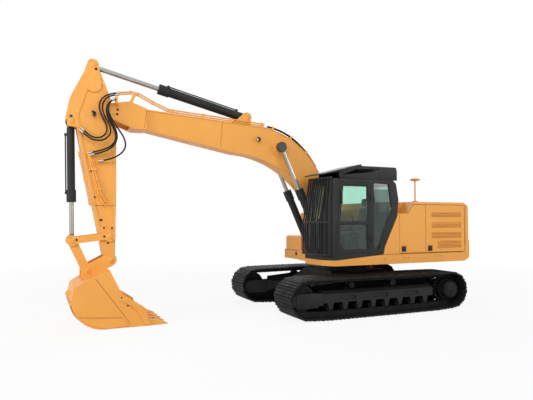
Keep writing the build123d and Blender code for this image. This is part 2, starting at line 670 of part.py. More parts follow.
# Cab: a hollow frame with openings, fixed panes, and a hinged door.
CAB_BASE = DECK_TOP + PIN_GAP
CAB_OUT = HOUSE_HALF - CORNER_DEPTH
cab_outline = [
    (-150, CAB_BASE), (CAB_FRONT, CAB_BASE), (CAB_FRONT, 2010), (CAB_FRONT - 170, CAB_TOP), (-432, CAB_TOP),
    (-515, CAB_TOP - 77), (-582, 2512), (-535, 2148), (-179, 1454),
]
front_corner = [
    (CAB_FRONT - 215, HOUSE_HALF + 5), ((CAB_FRONT - 85, HOUSE_HALF - 149), (CAB_FRONT + 30, CAB_OUT)),
    (CAB_FRONT + 100, HOUSE_HALF + 5),
]
inner_corner = [
    (CAB_FRONT - 275, HOUSE_HALF + 5), (
        (CAB_FRONT - 145, HOUSE_HALF - 209), (CAB_FRONT - 30, CAB_OUT - 60)
    ),
    (CAB_FRONT + 100, HOUSE_HALF + 5),
]
cab = side(cab_outline, CAB_INNER, HOUSE_HALF) - plan(front_corner, DECK_TOP - 90, CAB_TOP + 50)
cabin = side(inset(cab_outline, CAB_WALL), CAB_INNER + CAB_WALL, HOUSE_HALF - CAB_WALL)
cab -= cabin - plan(inner_corner, DECK_TOP - 90, CAB_TOP + 50)
door_outline = [(196, 1345), (1050, 1345), (1050, 2020), (950, 2880), (196, 2880)]
cab -= side(inset(door_outline, -SEAM), HOUSE_HALF - CAB_WALL - 5, HOUSE_HALF + 5)
quarter = [(-30, 1420), (100, 1420), (100, 2870), (-319, 2870), (-400, 2340)]
cab -= side(quarter, HOUSE_HALF - CAB_WALL - 5, HOUSE_HALF + 5)
right_window = [(-250, 1900), (1180, 1900), (1040, 2860), (-360, 2860), (-420, 2400)]
cab -= side(right_window, CAB_INNER - 5, CAB_INNER + CAB_WALL + 5)
FRONT_PANE = (CAB_INNER + CAB_WALL, CAB_OUT - 50)
cab -= block(CAB_FRONT - 300, CAB_FRONT + 100, FRONT_PANE[0], FRONT_PANE[1], 1420, 2860)
REAR_PANE = (CAB_INNER + 90, HOUSE_HALF - 90)
cab -= block(-700, -400, REAR_PANE[0], REAR_PANE[1], 2230, 2830)
CAB_HINGE = (178.0, HOUSE_HALF + 18)
HINGE_Z = (1620.0, 2540.0)
for z in HINGE_Z:
    cab += post(CAB_HINGE[0], CAB_HINGE[1], z, z + 40, 12)
    cab += block(CAB_HINGE[0] - 70, CAB_HINGE[0], HOUSE_HALF - 2, CAB_HINGE[1] + 12, z, z + 40)
save("cab_frame", cab)

FIT = 0.2
panes = [
    side(inset(quarter, FIT), HOUSE_HALF - 40, HOUSE_HALF - 40 + GLASS),
    side(inset(right_window, FIT), CAB_INNER + 30, CAB_INNER + 30 + GLASS),
]
front_x = CAB_FRONT - 30
front_glass = [
    (front_x, 1420 + FIT), (
        front_x + GLASS, 1420 + FIT
    ), (front_x + GLASS, 2009), (front_x - 146, 2860 - FIT),
    (front_x - 154, 2860 - FIT), (front_x, 2007),
]
rear_glass = [
    (
        -553, 2230 + FIT
    ), (-545, 2230 + FIT), (-566, 2512), (-510, 2830 - FIT), (-518, 2830 - FIT), (-574, 2512),
]
panes.append(side(front_glass, FRONT_PANE[0] + FIT, FRONT_PANE[1] - FIT))
panes.append(side(rear_glass, REAR_PANE[0] + FIT, REAR_PANE[1] - FIT))
save("cab_glass", panes)

DOOR_IN = HOUSE_HALF - 52
door_frame = side(door_outline, DOOR_IN, HOUSE_HALF + 2)
upper_light = [(270, 2030), (975, 2030), (885, 2810), (270, 2810)]
lower_light = [(270, 1420), (850, 1420), (975, 1560), (975, 1950), (270, 1950)]
for light in (upper_light, lower_light):
    door_frame -= side(light, DOOR_IN - 1, HOUSE_HALF + 5)
    rebate = side(inset(light, -22), HOUSE_HALF - 10, HOUSE_HALF + 5)
    door_frame -= rebate
for z in HINGE_Z:
    strap = z + 40 + PIN_GAP
    door_frame += post(CAB_HINGE[0], CAB_HINGE[1], strap, strap + 40, 12)
    door_frame += block(
        CAB_HINGE[0], CAB_HINGE[0] + 70, HOUSE_HALF + 1, CAB_HINGE[1] + 12, strap, strap + 40
    )
save("cab_door", door_frame)
lights = [
    side(inset(light, FIT), DOOR_IN + 15, DOOR_IN + 15 + GLASS) for light in (upper_light, lower_light)
]
save("door_glass", lights)

# Bar guard over the cab's front: bent bars between rails that follow the rounded corner.
GUARD_TURN = CAB_OUT - 20
GUARD_FRONT = CAB_FRONT + GUARD_OFF


def guard_x(y):
    """How far forward the front guard stands at this place across the cab."""
    return GUARD_FRONT if y <= GUARD_TURN else GUARD_FRONT - (y - GUARD_TURN) * 0.58


def guard_lean(y):
    """How much of the guard's lean back is left toward the outer corner of the cab."""
    return 1.0 if y <= GUARD_TURN else 1.0 - (y - GUARD_TURN) * 0.00245


GUARD_Z = (DECK_TOP + 20, 2010.0, CAB_TOP + 23)
GUARD_BACK = (0.0, 8.0, 176.0)
GUARD_ENDS = (CAB_INNER + 5, GUARD_TURN, HOUSE_HALF - 25)
RAIL_R = GUARD_R + 6
guard = None
for z, back in zip(GUARD_Z, GUARD_BACK):
    front = [(guard_x(y) - back * guard_lean(y) + RAIL_R, y) for y in GUARD_ENDS]
    behind = [(guard_x(y) - back * guard_lean(y) - GUARD_R + 6, y) for y in reversed(GUARD_ENDS)]
    rail = plan(front + behind, z - RAIL_R, z + RAIL_R)
    guard = rail if guard is None else guard + rail
bar_step = (HOUSE_HALF - 80 - CAB_INNER) / (GUARD_BARS - 1)
for k in range(GUARD_BARS):
    y = CAB_INNER + 25 + bar_step * k
    knots = [(guard_x(y) - back * guard_lean(y), z) for z, back in zip(GUARD_Z, GUARD_BACK)]
    front = [(x + GUARD_R, z) for x, z in knots]
    behind = [(x - GUARD_R, z) for x, z in reversed(knots)]
    guard += side(front + behind, y - GUARD_R, y + GUARD_R)
for y in (CAB_INNER + 90, CAB_OUT - 120):
    guard += block(CAB_FRONT + PIN_GAP, GUARD_FRONT, y - 25, y + 25, DECK_TOP + 10, DECK_TOP + 50)
    guard += block(CAB_FRONT - 220, CAB_FRONT - 90, y - 25, y + 25, CAB_TOP + PIN_GAP, CAB_TOP + 38)
save("front_guard", guard)

# Guard over the roof: a shallow cover with open sides, on two cross feet, and a visor that leans forward.
ROOF_PLATE = 30.0
ROOF_Y = (CAB_INNER + 30, HOUSE_HALF - 20)
roof_low = CAB_TOP + 30
roof_high = CAB_TOP + 298
roof = block(-560, 980, *ROOF_Y, roof_low, roof_high)
roof -= block(
    ROOF_PLATE - 560, 980 - ROOF_PLATE, ROOF_Y[
        0
    ] + ROOF_PLATE, ROOF_Y[1] - ROOF_PLATE, CAB_TOP, roof_high - ROOF_PLATE
)
roof -= block(-480, 900, CAB_INNER, HOUSE_HALF + 5, roof_low + 78, roof_low + 198)
for x0, x1 in ((-500, -420), (820, 900)):
    roof += block(x0, x1, ROOF_Y[0] + 10, ROOF_Y[1] - 10, CAB_TOP + PIN_GAP, CAB_TOP + 60)
visor = [(400, roof_high - 5), (1330, CAB_TOP + 83), (1335, CAB_TOP + 105), (430, roof_high + 35)]
roof += side(visor, CAB_INNER, HOUSE_HALF - 10)
save("roof_guard", roof)

# What shows through the cab's glass.
FLOOR = CAB_BASE + CAB_WALL
SEAT_Y = (CAB_INNER + HOUSE_HALF) / 2
ROOM = HOUSE_HALF - CAB_INNER - 2 * CAB_WALL
SEAT_HALF = ROOM / 2 - CONSOLE - 30
seat = block(80, 480, SEAT_Y - SEAT_HALF * 0.7, SEAT_Y + SEAT_HALF * 0.7, FLOOR, FLOOR + 330)
cushion = [
    (60, FLOOR + 320), (560, FLOOR + 320), ((605, FLOOR + 390), (560, FLOOR + 455)), (150, FLOOR + 440),
    (60, FLOOR + 470),
]
seat += side(cushion, SEAT_Y - SEAT_HALF, SEAT_Y + SEAT_HALF)
back_rest = [
    (40, FLOOR + 350), (200, FLOOR + 350), ((135, FLOOR + 700), (60, FLOOR + 1010)), (-60, FLOOR + 1010),
    ((0, FLOOR + 680), (40, FLOOR + 350)),
]
seat += side(back_rest, SEAT_Y - SEAT_HALF * 0.95, SEAT_Y + SEAT_HALF * 0.95)
head_rest = [
    (-55, FLOOR + 990), (45, FLOOR + 990), ((40, FLOOR + 1110), (10, FLOOR + 1210)), (-65, FLOOR + 1210)
]
seat += side(head_rest, SEAT_Y - SEAT_HALF * 0.55, SEAT_Y + SEAT_HALF * 0.55)
save("seat", seat)
controls = []
CONSOLE_OUT = ROOM / 2 - CONSOLE / 2 - 5
for y in (SEAT_Y - CONSOLE_OUT, SEAT_Y + CONSOLE_OUT):
    arm = [
        (180, FLOOR), (420, FLOOR), (
            470, FLOOR + 380
        ), (620, FLOOR + 520), (610, FLOOR + 600), (180, FLOOR + 560)
    ]
    console = side(arm, y - CONSOLE / 2, y + CONSOLE / 2)
    console += bar(
        (560, y, FLOOR + 570), (575, y, FLOOR + 720), 14
    ) + bar((573, y, FLOOR + 700), (582, y, FLOOR + 790), 24)
    controls.append(console)
monitor_y = CAB_INNER + CAB_WALL + 30
monitor = side(
    [
        (1000, FLOOR + 530), (1030, FLOOR + 520), (1075, FLOOR + 720), (1045, FLOOR + 730)
    ], monitor_y, monitor_y + 250
)
stand = [(1050, FLOOR), (1090, FLOOR), (1060, FLOOR + 660), (1040, FLOOR + 640)]
monitor += side(stand, monitor_y + 100, monitor_y + 150)
controls.append(monitor)
for y in (SEAT_Y - 90, SEAT_Y + 90):
    pedal = side([(1000, FLOOR), (1150, FLOOR), (1150, FLOOR + 70), (1000, FLOOR + 40)], y - 45, y + 45)
    controls.append(pedal + bar((1080, y, FLOOR + 30), (1040, y, FLOOR + 600), 12))
save("cab_controls", controls)

# Receiver mast on the left of the engine house, and the rail along the tanks on the right.
MAST = (-1240.0, HOUSE_HALF - 210)
MAST_TOP = 2985.0
dome = [(0, 66), (62, 61), (102, 50), (125, 30), (118, 18), (60, 0), (0, 0)]
dome_face = Face(wire_of(dome, lambda r, t: (MAST[0] + r, MAST[1], MAST_TOP - 6 + t)))
mast = post(MAST[0], MAST[1], HOOD_TOP, MAST_TOP, 16)
mast += plan(
    [(MAST[0] + 60 * cos(pi * k / 6), MAST[1] + 60 * sin(pi * k / 6)) for k in range(12)], HOOD_TOP,
    HOOD_TOP + 25
)
mast += revolve(dome_face, axis=Axis((MAST[0], MAST[1], 0), (0, 0, 1)))
save("receiver_mast", mast)
RAIL_Y = 60 - HOUSE_HALF
RAIL_TOP = FUEL_TOP + 330
rail_path = [
    (380, RAIL_Y, FUEL_TOP), (380, RAIL_Y, RAIL_TOP), (-480, RAIL_Y, RAIL_TOP), (-480, RAIL_Y, OIL_TOP)
]
save("handrail", pipe(rail_path, 17))

# Boom: a box of plates with proud edges, a fork at its nose, and two rigid tubes clamped on its left edge.
boom_outline = placed(
    [
        (60, -180), (1300, 340), (
            (2300, 578), (3200, 415)
        ), (5125, -11), (5300, 60), (5300, 376), (2750, 1285),
        ((1750, 1262), (950, 820)), (-115, 152),
    ],
    boom_at,
)
boom = side(boom_outline, -BOOM_HALF, BOOM_HALF)
for cut in panels(boom_outline, BOOM_HALF):
    boom -= cut
boom += shaft(FOOT, 190, PIN_GAP - EAR_IN, EAR_IN - PIN_GAP)
NOSE_OUT = BOOM_HALF + 70
nose = placed(
    [(5125, -11), (5344, -112), (5830, -140), (5985, 120), (5937, 166), (5657, 353), (5295, 376)], boom_at
)
fork = side(nose, -NOSE_OUT, NOSE_OUT) + shaft(STICK_PIN, 160, -NOSE_OUT, NOSE_OUT)
fork -= side(placed([(5440, -400), (6300, -400), (6300, 700), (5440, 700)], boom_at), -EAR_IN, EAR_IN)
boom += fork
ROD_EYE_IN = BOOM_CYLINDER_Y - 47.5
boom += shaft(BOOM_ROD_PIN, 190, -BOOM_HALF - 4, BOOM_HALF + 4)
boom += shaft(BOOM_ROD_PIN, 125, PIN_GAP - ROD_EYE_IN, ROD_EYE_IN - PIN_GAP)
STICK_EARS = 100.0
for piece in both(link(STICK_BASE_PIN, 105, boom_at(3260, 1060), 190, STICK_EARS, STICK_EARS + 55)):
    boom += piece


def boom_top(u):
    """How high the straight part of the boom's top plate lies over its axis."""
    return 1285.0 - (u - 2750.0) * (1285.0 - 376.0) / (5300.0 - 2750.0)


def in_space(place, u, v, y):
    x, z = place(u, v)
    return (x, y, z)


TUBE_Y = BOOM_HALF - 23
NOSE_TUBE_Y = 235.0
TUBE_RISE = 45.0
tube_ends = []
for k in range(2):
    rise = 30.0 + TUBE_RISE * k
    route = [
        (
            2800, boom_top(2800) + rise, TUBE_Y
        ), (4880, boom_top(4880) + rise, TUBE_Y), (5240, 510 + rise, 200),
        (5560, 515 + rise, NOSE_TUBE_Y), (5720, 475 + rise, NOSE_TUBE_Y), (5928, 333 + rise, NOSE_TUBE_Y),
    ]
    line = [in_space(boom_at, *p) for p in route]
    tube_ends.append(line[-2:])
    boom += pipe(line, TUBE_R)
for u in (2860, 3560, 4160, 4800):
    foot = boom_top(u) - 10
    clamp = placed([(u - 30, foot), (u + 30, foot), (u + 30, foot + 104), (u - 30, foot + 104)], boom_at)
    boom += side(clamp, TUBE_Y - 22, BOOM_HALF - 1)
nose_clamp = placed([(5600, 300), (5660, 300), (5660, 570), (5600, 570)], boom_at)
boom += side(nose_clamp, NOSE_TUBE_Y - 20, NOSE_TUBE_Y + 22)
HOSE_PLATE = (5490.0, 5520.0)
boom += block(HOSE_PLATE[0], HOSE_PLATE[1], NOSE_OUT - 45, NOSE_OUT + 180, 4345, 4475)

# Stick: a box of plates with forks for the two cylinders that work on it.
stick_outline = placed(
    [
        (-1010, 400), (-675, 554), (-239, 762), (120, 835), (330, 800), (345, 640), (608, 593), (2558, 188),
        (2970, 110), (2860, -100), (1766, -117), (260, -112), (-314, 15), (-844, 225), (-1010, 290),
    ],
    stick_at,
)
stick = side(stick_outline, -STICK_HALF, STICK_HALF)
stick_panel = placed(
    [
        (-560, 420), (120, 640), (345, 600), (608, 560), (2330, 205), (2330, -85), (260, -82), (-300, 45),
        (-560, 150)
    ],
    stick_at,
)
for cut in panels(stick_panel, STICK_HALF):
    stick -= cut
stick += shaft(STICK_ROD_PIN, 110, -STICK_HALF - 12, STICK_HALF + 12)
for piece in both(link(STICK_ROD_PIN, 110, stick_at(-520, 330), 150, STICK_HALF - 2, STICK_HALF + 12)):
    stick += piece
stick += shaft(STICK_PIN, 150, PIN_GAP - EAR_IN, EAR_IN - PIN_GAP)
LINK_IN = STICK_HALF + 5
BOSS_HALF = LINK_IN - PIN_GAP
stick += shaft(BUCKET_PIN, 125, -BOSS_HALF, BOSS_HALF) + shaft(LINK_PIVOT, 112, -BOSS_HALF, BOSS_HALF)
EYE_HALF = 68.0
rod_slot = placed([(-660, -200), (-660, 900), (-1400, 900), (-1400, -200)], stick_at)
stick -= side(rod_slot, -EYE_HALF - PIN_GAP, EYE_HALF + PIN_GAP)
base_slot = placed([(20, 610), (500, 610), (500, 1100), (20, 1100)], stick_at)
stick -= side(base_slot, -EYE_HALF - PIN_GAP, EYE_HALF + PIN_GAP)


def stick_front(u):
    """How far the stick's front plate lies from its axis."""
    return 593.0 - (u - 608.0) * (593.0 - 188.0) / (2558.0 - 608.0)


stick += pipe([in_space(stick_at, u, stick_front(u) + 47, 120) for u in (820, 1880)], TUBE_R)
for u in (880, 1360, 1820):
    foot = stick_front(u) - 10
    clamp = placed([(u - 28, foot), (u - 28, foot + 78), (u + 28, foot + 78), (u + 28, foot)], stick_at)
    stick += side(clamp, 98, 142)

# Hoses from the boom's nose to the stick, each from one collar to the next.
def straight_on(line, reach):
    """The point that far past the end of a line."""
    a, b = Vector(*line[0]), Vector(*line[1])
    return tuple(b + (b - a).normalized() * reach)


PORT_X = 5560.0
PORT_Z = 4440.0
hose_routes = {
    "nose_hose_1": [
        tube_ends[1][1], straight_on(
            tube_ends[1], 160
        ), (5765, 236, 4485), (5828, 236, 4340), (5800, 238, 4180),
        (
            5672, 242, 3945
        ), (5668, 244, 3790), (5775, 246, 3682), (5915, 242, 3672), (6037, 228, 3745), (6125, 213, 3835),
    ],
    "nose_hose_2": [
        tube_ends[0][1], straight_on(
            tube_ends[0], 140
        ), (5728, 256, 4440), (5775, 284, 4290), (5738, 296, 4130),
        (
            5606, 300, 3905
        ), (5608, 300, 3740), (5735, 290, 3628), (5900, 272, 3615), (6040, 248, 3690), (6145, 217, 3790),
    ],
    "nose_hose_3": [
        (PORT_X, 330, PORT_Z), (5635, 331, 4395), (5690, 333, 4305), (5700, 336, 4195), (5650, 338, 4030),
        (
            5540, 334, 3850
        ), (5495, 318, 3690), (5558, 288, 3545), (5700, 254, 3460), (5855, 225, 3410), (5985, 203, 3380),
    ],
    "nose_hose_4": [
        (PORT_X, 374, PORT_Z), (5630, 375, 4392), (5678, 376, 4298), (5682, 377, 4188), (5622, 377, 4030),
        (
            5512, 372, 3845
        ), (5478, 356, 3670), (5545, 324, 3515), (5680, 280, 3425), (5825, 240, 3372), (5945, 210, 3342),
    ],
    "nose_hose_5": [
        (PORT_X, 418, PORT_Z), (5626, 419, 4388), (5668, 420, 4292), (5668, 419, 4182), (5598, 416, 4030),
        (
            5480, 408, 3860
        ), (5362, 388, 3700), (5312, 356, 3545), (5368, 320, 3405), (5500, 285, 3308), (5645, 250, 3252),
        (5770, 218, 3228),
    ],
}


def hose(name, points):
    """A tube along straight runs, with an arc at each corner as large as its two runs allow."""
    route = [Vector(*p) for p in points]
    radii = []
    for a, b, c in zip(route, route[1:], route[2:]):
        turn = radians((b - a).get_angle(c - b))
        radii.append(0.45 * min((b - a).length, (c - b).length) / tan(turn / 2))
    path = FilletPolyline(*points, radius=radii)
    start = Plane(origin=points[0], z_dir=route[1] - route[0])
    tube = sweep(start * Circle(HOSE_R), path=path)
    ratio = tube.volume / (pi * HOSE_R**2 * path.length)
    print(
        name, "length", round(path.length), "least radius", round(min(radii)), "volume ratio",
        round(ratio, 4)
    )
    print("   radii", [round(r) for r in radii])
    return tube


COLLAR = 70.0
for name, points in hose_routes.items():
    save(name, hose(name, points))
    end = straight_on(points[-2:], COLLAR)
    stick += bar(points[-1], end, COLLAR_R)
    x, y, z = Vector(*points[-1]) * 0.35 + Vector(*end) * 0.65
    stick += block(x - 20, x + 20, STICK_HALF - 25, y + 8, z - 20, z + 20)
    if points[0][0] == PORT_X:
        back = straight_on((points[1], points[0]), COLLAR)
        boom += bar(back, points[0], COLLAR_R)
for name, run in (
    (
        "nose_hose_3",
        [(5965, 188, 3180), (5880, 188, 2850), (5800, 188, 2550), (5705, 188, 2375), (5640, 188, 2320)]
    ),
    ("nose_hose_4", [(5915, 188, 3150), (5832, 188, 2832), (5756, 188, 2560), (5670, 188, 2420)]),
):
    stick += pipe([straight_on(hose_routes[name][-2:], COLLAR * 0.6)] + run, TUBE_R)
for x, z in ((5912, 3060), (5808, 2680)):
    stick += block(x - 55, x + 45, STICK_HALF - 25, 206, z - 24, z + 24)
# Black hoses along the boom's back, from the stick cylinder's foot to the boom's heel, held in clamps.
HEEL_Y = (110.0, 150.0)
heel_route = [
    (2700, 1340), (2450, 1392), (2200, 1402), (1950, 1368), (1700, 1296), (1450, 1185), (1200, 1035)
]
heel_hoses = [hose("heel hose", [in_space(boom_at, u, v, y) for u, v in heel_route]) for y in HEEL_Y]
save("boom_hoses", heel_hoses)
for a, b in ((0, 1), (2, 3), (4, 5)):
    u = (heel_route[a][0] + heel_route[b][0]) / 2
    v = (heel_route[a][1] + heel_route[b][1]) / 2
    saddle = placed([(u - 25, v - 70), (u + 25, v - 70), (u + 25, v + 26), (u - 25, v + 26)], boom_at)
    clamp = side(saddle, HEEL_Y[0] - 27, HEEL_Y[1] + 27)
    for y in HEEL_Y:
        clamp -= bar(
            in_space(boom_at, *heel_route[a], y), in_space(boom_at, *heel_route[b], y), HOSE_R + PIN_GAP
        )
    boom += clamp
save("boom", boom)
save("stick", stick)


# Work lamps: a turned housing on a bracket.
def lamp(at, face_y, lean):
    """A lamp that shines forward, standing off a side face."""
    cup = [(0, 0), (30, 0), (52, 22), (56, 62), (48, 62), (0, 56)]
    forward = Vector(cos(radians(lean)), 0, sin(radians(lean)))
    place = Plane(origin=(at[0], face_y + 66, at[1]), x_dir=(0, 1, 0), z_dir=forward)
    face = place.location * Face(wire_of(cup, lambda r, t: (r, 0, t)))
    housing = revolve(face, axis=Axis(place.origin, forward))
    return housing + block(at[0] - 14, at[0] + 14, face_y, face_y + 66, at[1] - 18, at[1] + 18)


save("boom_lamp", lamp(boom_at(2790, 962), BOOM_HALF - FLANGE_STEP, -18))
save("stick_lamp", lamp((5890, 4173), STICK_HALF - FLANGE_STEP, -20))

# Bucket: a shell of plate, open at the mouth, with ears on its back, wear plates and side cutters.
lip = (-702, -1262)
bowl = [
    lip, (80, -1262), (
        (560, -1095), (742, -700)
    ), (690, -480), (452, -330), (60, -165), (-129, -543), (-223, -653),
    (-583, -896),
]
hollow = [
    (-900, -1232), (80, -1232), (
        (540, -1072), (712, -700)
    ), (665, -500), (440, -360), (60, -197), (-200, -197)
]
heel_plate = [
    (-300, -1225), (60, -1250), (
        (330, -1195), (560, -1060)
    ), ((440, -1050), (300, -1075)), (-40, -1060), (-180, -1085)
]
side_cutter = [
    (-190, -632), (-600, -905), (-712, -1235), (-590, -1235), (-480, -985), (-330, -850), (-150, -745)
]
bucket = side(placed(bowl, bucket_at), -BUCKET_HALF, BUCKET_HALF)
bucket -= side(placed(hollow, bucket_at), BUCKET_SIDE - BUCKET_HALF, BUCKET_HALF - BUCKET_SIDE)
for form, thick in ((heel_plate, 14), (side_cutter, 26)):
    for piece in both(side(placed(form, bucket_at), BUCKET_HALF - 2, BUCKET_HALF + thick)):
        bucket += piece
WEAR = 14.0
wear_strip = [
    (330, -1190), ((580, -1074), (752, -730)), (752 + WEAR, -730), (
        (580 + WEAR * 0.7, -1074 - WEAR * 0.7), (330 + 5, -1190 - WEAR)
    ),
]
for y in (-500.0, -170.0, 170.0, 500.0):
    bucket += side(placed(wear_strip, bucket_at), y - 45, y + 45)
BUCKET_EAR = 62.0
web = [(-60, -120), (60, -166), (452, -331), (540, -380), (530, -180), (0, -40)]
for y0 in (-LINK_IN - BUCKET_EAR, LINK_IN):
    bucket += link(BUCKET_PIN, 125, BUCKET_LINK_PIN, LINK_BOSS, y0, y0 + BUCKET_EAR)
    bucket += side(placed(web, bucket_at), y0, y0 + BUCKET_EAR)
lift_eye = bucket_at(762, -640)
bucket += shaft(lift_eye, 46, -18, 18) - shaft(lift_eye, 20, -19, 19)
save("bucket", bucket)
adapter = [
    (-860, -1258), (-690, -1262), (-560, -1231), (-540, -1205), (-560, -1170), (-700, -1140), (-850, -1165)
]
tip = [(-1054, -1250), (-830, -1262), (-800, -1255), (-800, -1170), (-840, -1152), (-1046, -1236)]
TOOTH_COUNT = 5
TOOTH_PITCH = (BUCKET_HALF * 2 - 110) / (TOOTH_COUNT - 1)
lip_cut = side(placed(bowl, bucket_at), -BUCKET_HALF - 50, BUCKET_HALF + 50)
lip_cut += side(placed(side_cutter, bucket_at), BUCKET_HALF - 2, BUCKET_HALF + 27)
lip_cut += side(placed(side_cutter, bucket_at), -BUCKET_HALF - 27, 2 - BUCKET_HALF)
teeth = []
for k in range(TOOTH_COUNT):
    y = (k - (TOOTH_COUNT - 1) / 2) * TOOTH_PITCH
    tooth = side(placed(adapter, bucket_at), y - 44, y + 44) + side(placed(tip, bucket_at), y - 54, y + 54)
    teeth.append(tooth - lip_cut)
save("bucket_teeth", teeth)

# Links between the stick and the bucket.
WAIST = 65.0
LINK_PLATE = 45.0
idler_link = link(LINK_PIVOT, WAIST, LINK_PIN, WAIST, LINK_IN, LINK_IN + LINK_PLATE)
for pin, radius in ((LINK_PIVOT, 112), (LINK_PIN, LINK_BOSS)):
    idler_link += shaft(pin, radius, LINK_IN, LINK_IN + LINK_PLATE)
save("idler_links", both(idler_link))
power = link(BUCKET_LINK_PIN, 80, LINK_PIN, 80, -BOSS_HALF, BOSS_HALF)
reach = hypot(LINK_PIN[0] - BUCKET_LINK_PIN[0], LINK_PIN[1] - BUCKET_LINK_PIN[1])
power_at = frame_2d(
    BUCKET_LINK_PIN, degrees(atan2(LINK_PIN[1] - BUCKET_LINK_PIN[1], LINK_PIN[0] - BUCKET_LINK_PIN[0]))
)
fork_gap = [(reach * 0.55, -300), (reach + 300, -300), (reach + 300, 300), (reach * 0.55, 300)]
power -= side(placed(fork_gap, power_at), -EYE_HALF - 20, EYE_HALF + 20)
save("power_link", power)


# Cylinders: a barrel with a lug at its foot and a gland at its mouth, and a rod with an eye at its end.
def barrel(base, end, radius, length, eye, half, bore, neck, y=0.0):
    """A barrel from its base pin toward its end pin, open for the rod, full round past its neck."""
    span = hypot(end[0] - base[0], end[1] - base[1])
    at = frame_2d(base, degrees(atan2(end[1] - base[1], end[0] - base[0])))
    flat = min(radius, half) * 0.94
    lug = placed(
        [(0, -eye * 0.98), (neck + 6, -radius * 0.6), (neck + 6, radius * 0.6), (0, eye * 0.98)], at
    )
    body = shaft(base, eye, y - half, y + half) + side(lug, y - flat, y + flat)
    body += bar(in_space(at, neck, 0, y), in_space(at, length, 0, y), radius)
    body += bar(in_space(at, length - 240, 0, y), in_space(at, length, 0, y), radius + 16)
    return body - bar(in_space(at, neck + 60, 0, y), in_space(at, span, 0, y), bore + PIN_GAP)


def feed(base, end, radius, u0, u1):
    """The pipe that feeds the rod side, from a port by the lug to one at the gland."""
    at = frame_2d(base, degrees(atan2(end[1] - base[1], end[0] - base[0])))
    high = radius + 24
    line = bar(in_space(at, u0, high, 0), in_space(at, u1, high, 0), 13)
    for u in (u0, u1):
        line += side(
            placed(
                [(u - 24, radius - 12), (u + 24, radius - 12), (u + 24, high + 20), (u - 24, high + 20)], at
            ),
            -22, 22
        )
    return line


def rod(base, end, radius, start, eye, half, y=0.0):
    """A rod from inside its barrel to the eye at its end pin."""
    span = hypot(end[0] - base[0], end[1] - base[1])
    at = frame_2d(base, degrees(atan2(end[1] - base[1], end[0] - base[0])))
    return bar(
        in_space(at, start, 0, y), in_space(at, span - eye * 0.6, 0, y), radius
    ) + shaft(end, eye, y - half, y + half)


BOOM_ROD_R = 47.5
STICK_ROD_R = 50.0
BUCKET_ROD_R = 45.0
BOOM_BARREL = (85.0, 1500.0, 100.0)
BOOM_NECK = 165.0
STICK_BARREL = (95.0, 2020.0, 105.0)
BUCKET_BARREL = (74.0, 1590.0, 95.0)
boom_barrel = barrel(
    BOOM_BASE_PIN, BOOM_ROD_PIN, *BOOM_BARREL, BARREL_HALF, BOOM_ROD_R, BOOM_NECK, BOOM_CYLINDER_Y
)
save("boom_barrels", both(boom_barrel))
save("boom_rods", both(rod(BOOM_BASE_PIN, BOOM_ROD_PIN, BOOM_ROD_R, 1150, 112, 47.5, BOOM_CYLINDER_Y)))
stick_barrel = barrel(STICK_BASE_PIN, STICK_ROD_PIN, *STICK_BARREL, STICK_EARS - PIN_GAP, STICK_ROD_R, 60)
stick_barrel += feed(STICK_BASE_PIN, STICK_ROD_PIN, STICK_BARREL[0], 230, STICK_BARREL[1] - 190)
save("stick_barrel", stick_barrel)
save("stick_rod", rod(STICK_BASE_PIN, STICK_ROD_PIN, STICK_ROD_R, 1700, 105, EYE_HALF))
bucket_barrel = barrel(BUCKET_BASE_PIN, LINK_PIN, *BUCKET_BARREL, EYE_HALF, BUCKET_ROD_R, 140)
bucket_barrel += feed(BUCKET_BASE_PIN, LINK_PIN, BUCKET_BARREL[0], 260, BUCKET_BARREL[1] - 180)
save("bucket_barrel", bucket_barrel)
save("bucket_rod", rod(BUCKET_BASE_PIN, LINK_PIN, BUCKET_ROD_R, 1250, 95, EYE_HALF))
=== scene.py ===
"""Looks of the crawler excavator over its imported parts.

Camera, light, finishes, hoses, seat, roof guard and small trim. Lengths are in metres. Places on the
machine are measured from its slew axis and the ground.
"""
import json
from collections import defaultdict
from math import cos, pi, radians, sin

import bmesh
import bpy
from mathutils import Matrix, Vector
from mathutils.bvhtree import BVHTree


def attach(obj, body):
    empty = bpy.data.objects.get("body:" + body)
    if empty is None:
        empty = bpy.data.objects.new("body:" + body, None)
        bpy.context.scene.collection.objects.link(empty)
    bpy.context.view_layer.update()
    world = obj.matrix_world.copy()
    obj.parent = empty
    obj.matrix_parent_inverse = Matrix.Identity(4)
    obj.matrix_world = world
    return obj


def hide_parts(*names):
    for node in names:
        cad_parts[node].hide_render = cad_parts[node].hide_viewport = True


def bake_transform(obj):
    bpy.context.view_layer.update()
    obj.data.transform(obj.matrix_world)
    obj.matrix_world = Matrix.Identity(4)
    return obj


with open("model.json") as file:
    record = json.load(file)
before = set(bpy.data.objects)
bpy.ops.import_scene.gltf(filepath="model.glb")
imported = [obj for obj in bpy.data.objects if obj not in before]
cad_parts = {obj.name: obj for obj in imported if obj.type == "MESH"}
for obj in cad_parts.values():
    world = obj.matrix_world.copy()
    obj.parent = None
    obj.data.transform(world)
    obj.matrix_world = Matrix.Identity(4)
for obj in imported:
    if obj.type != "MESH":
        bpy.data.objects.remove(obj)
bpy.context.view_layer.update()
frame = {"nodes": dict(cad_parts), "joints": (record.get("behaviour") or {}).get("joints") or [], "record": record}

# The slew axis stands this far behind the origin.
SLEW_X = next(joint["pos_m"][0] for joint in frame["joints"] if joint["name"] == "slew")

# Camera.
CAMERA_PLACE = (6.900, 10.641, 2.071)
CAMERA_YAW = -114.34
CAMERA_PITCH = 2.19
CAMERA_VIEW = 55.52

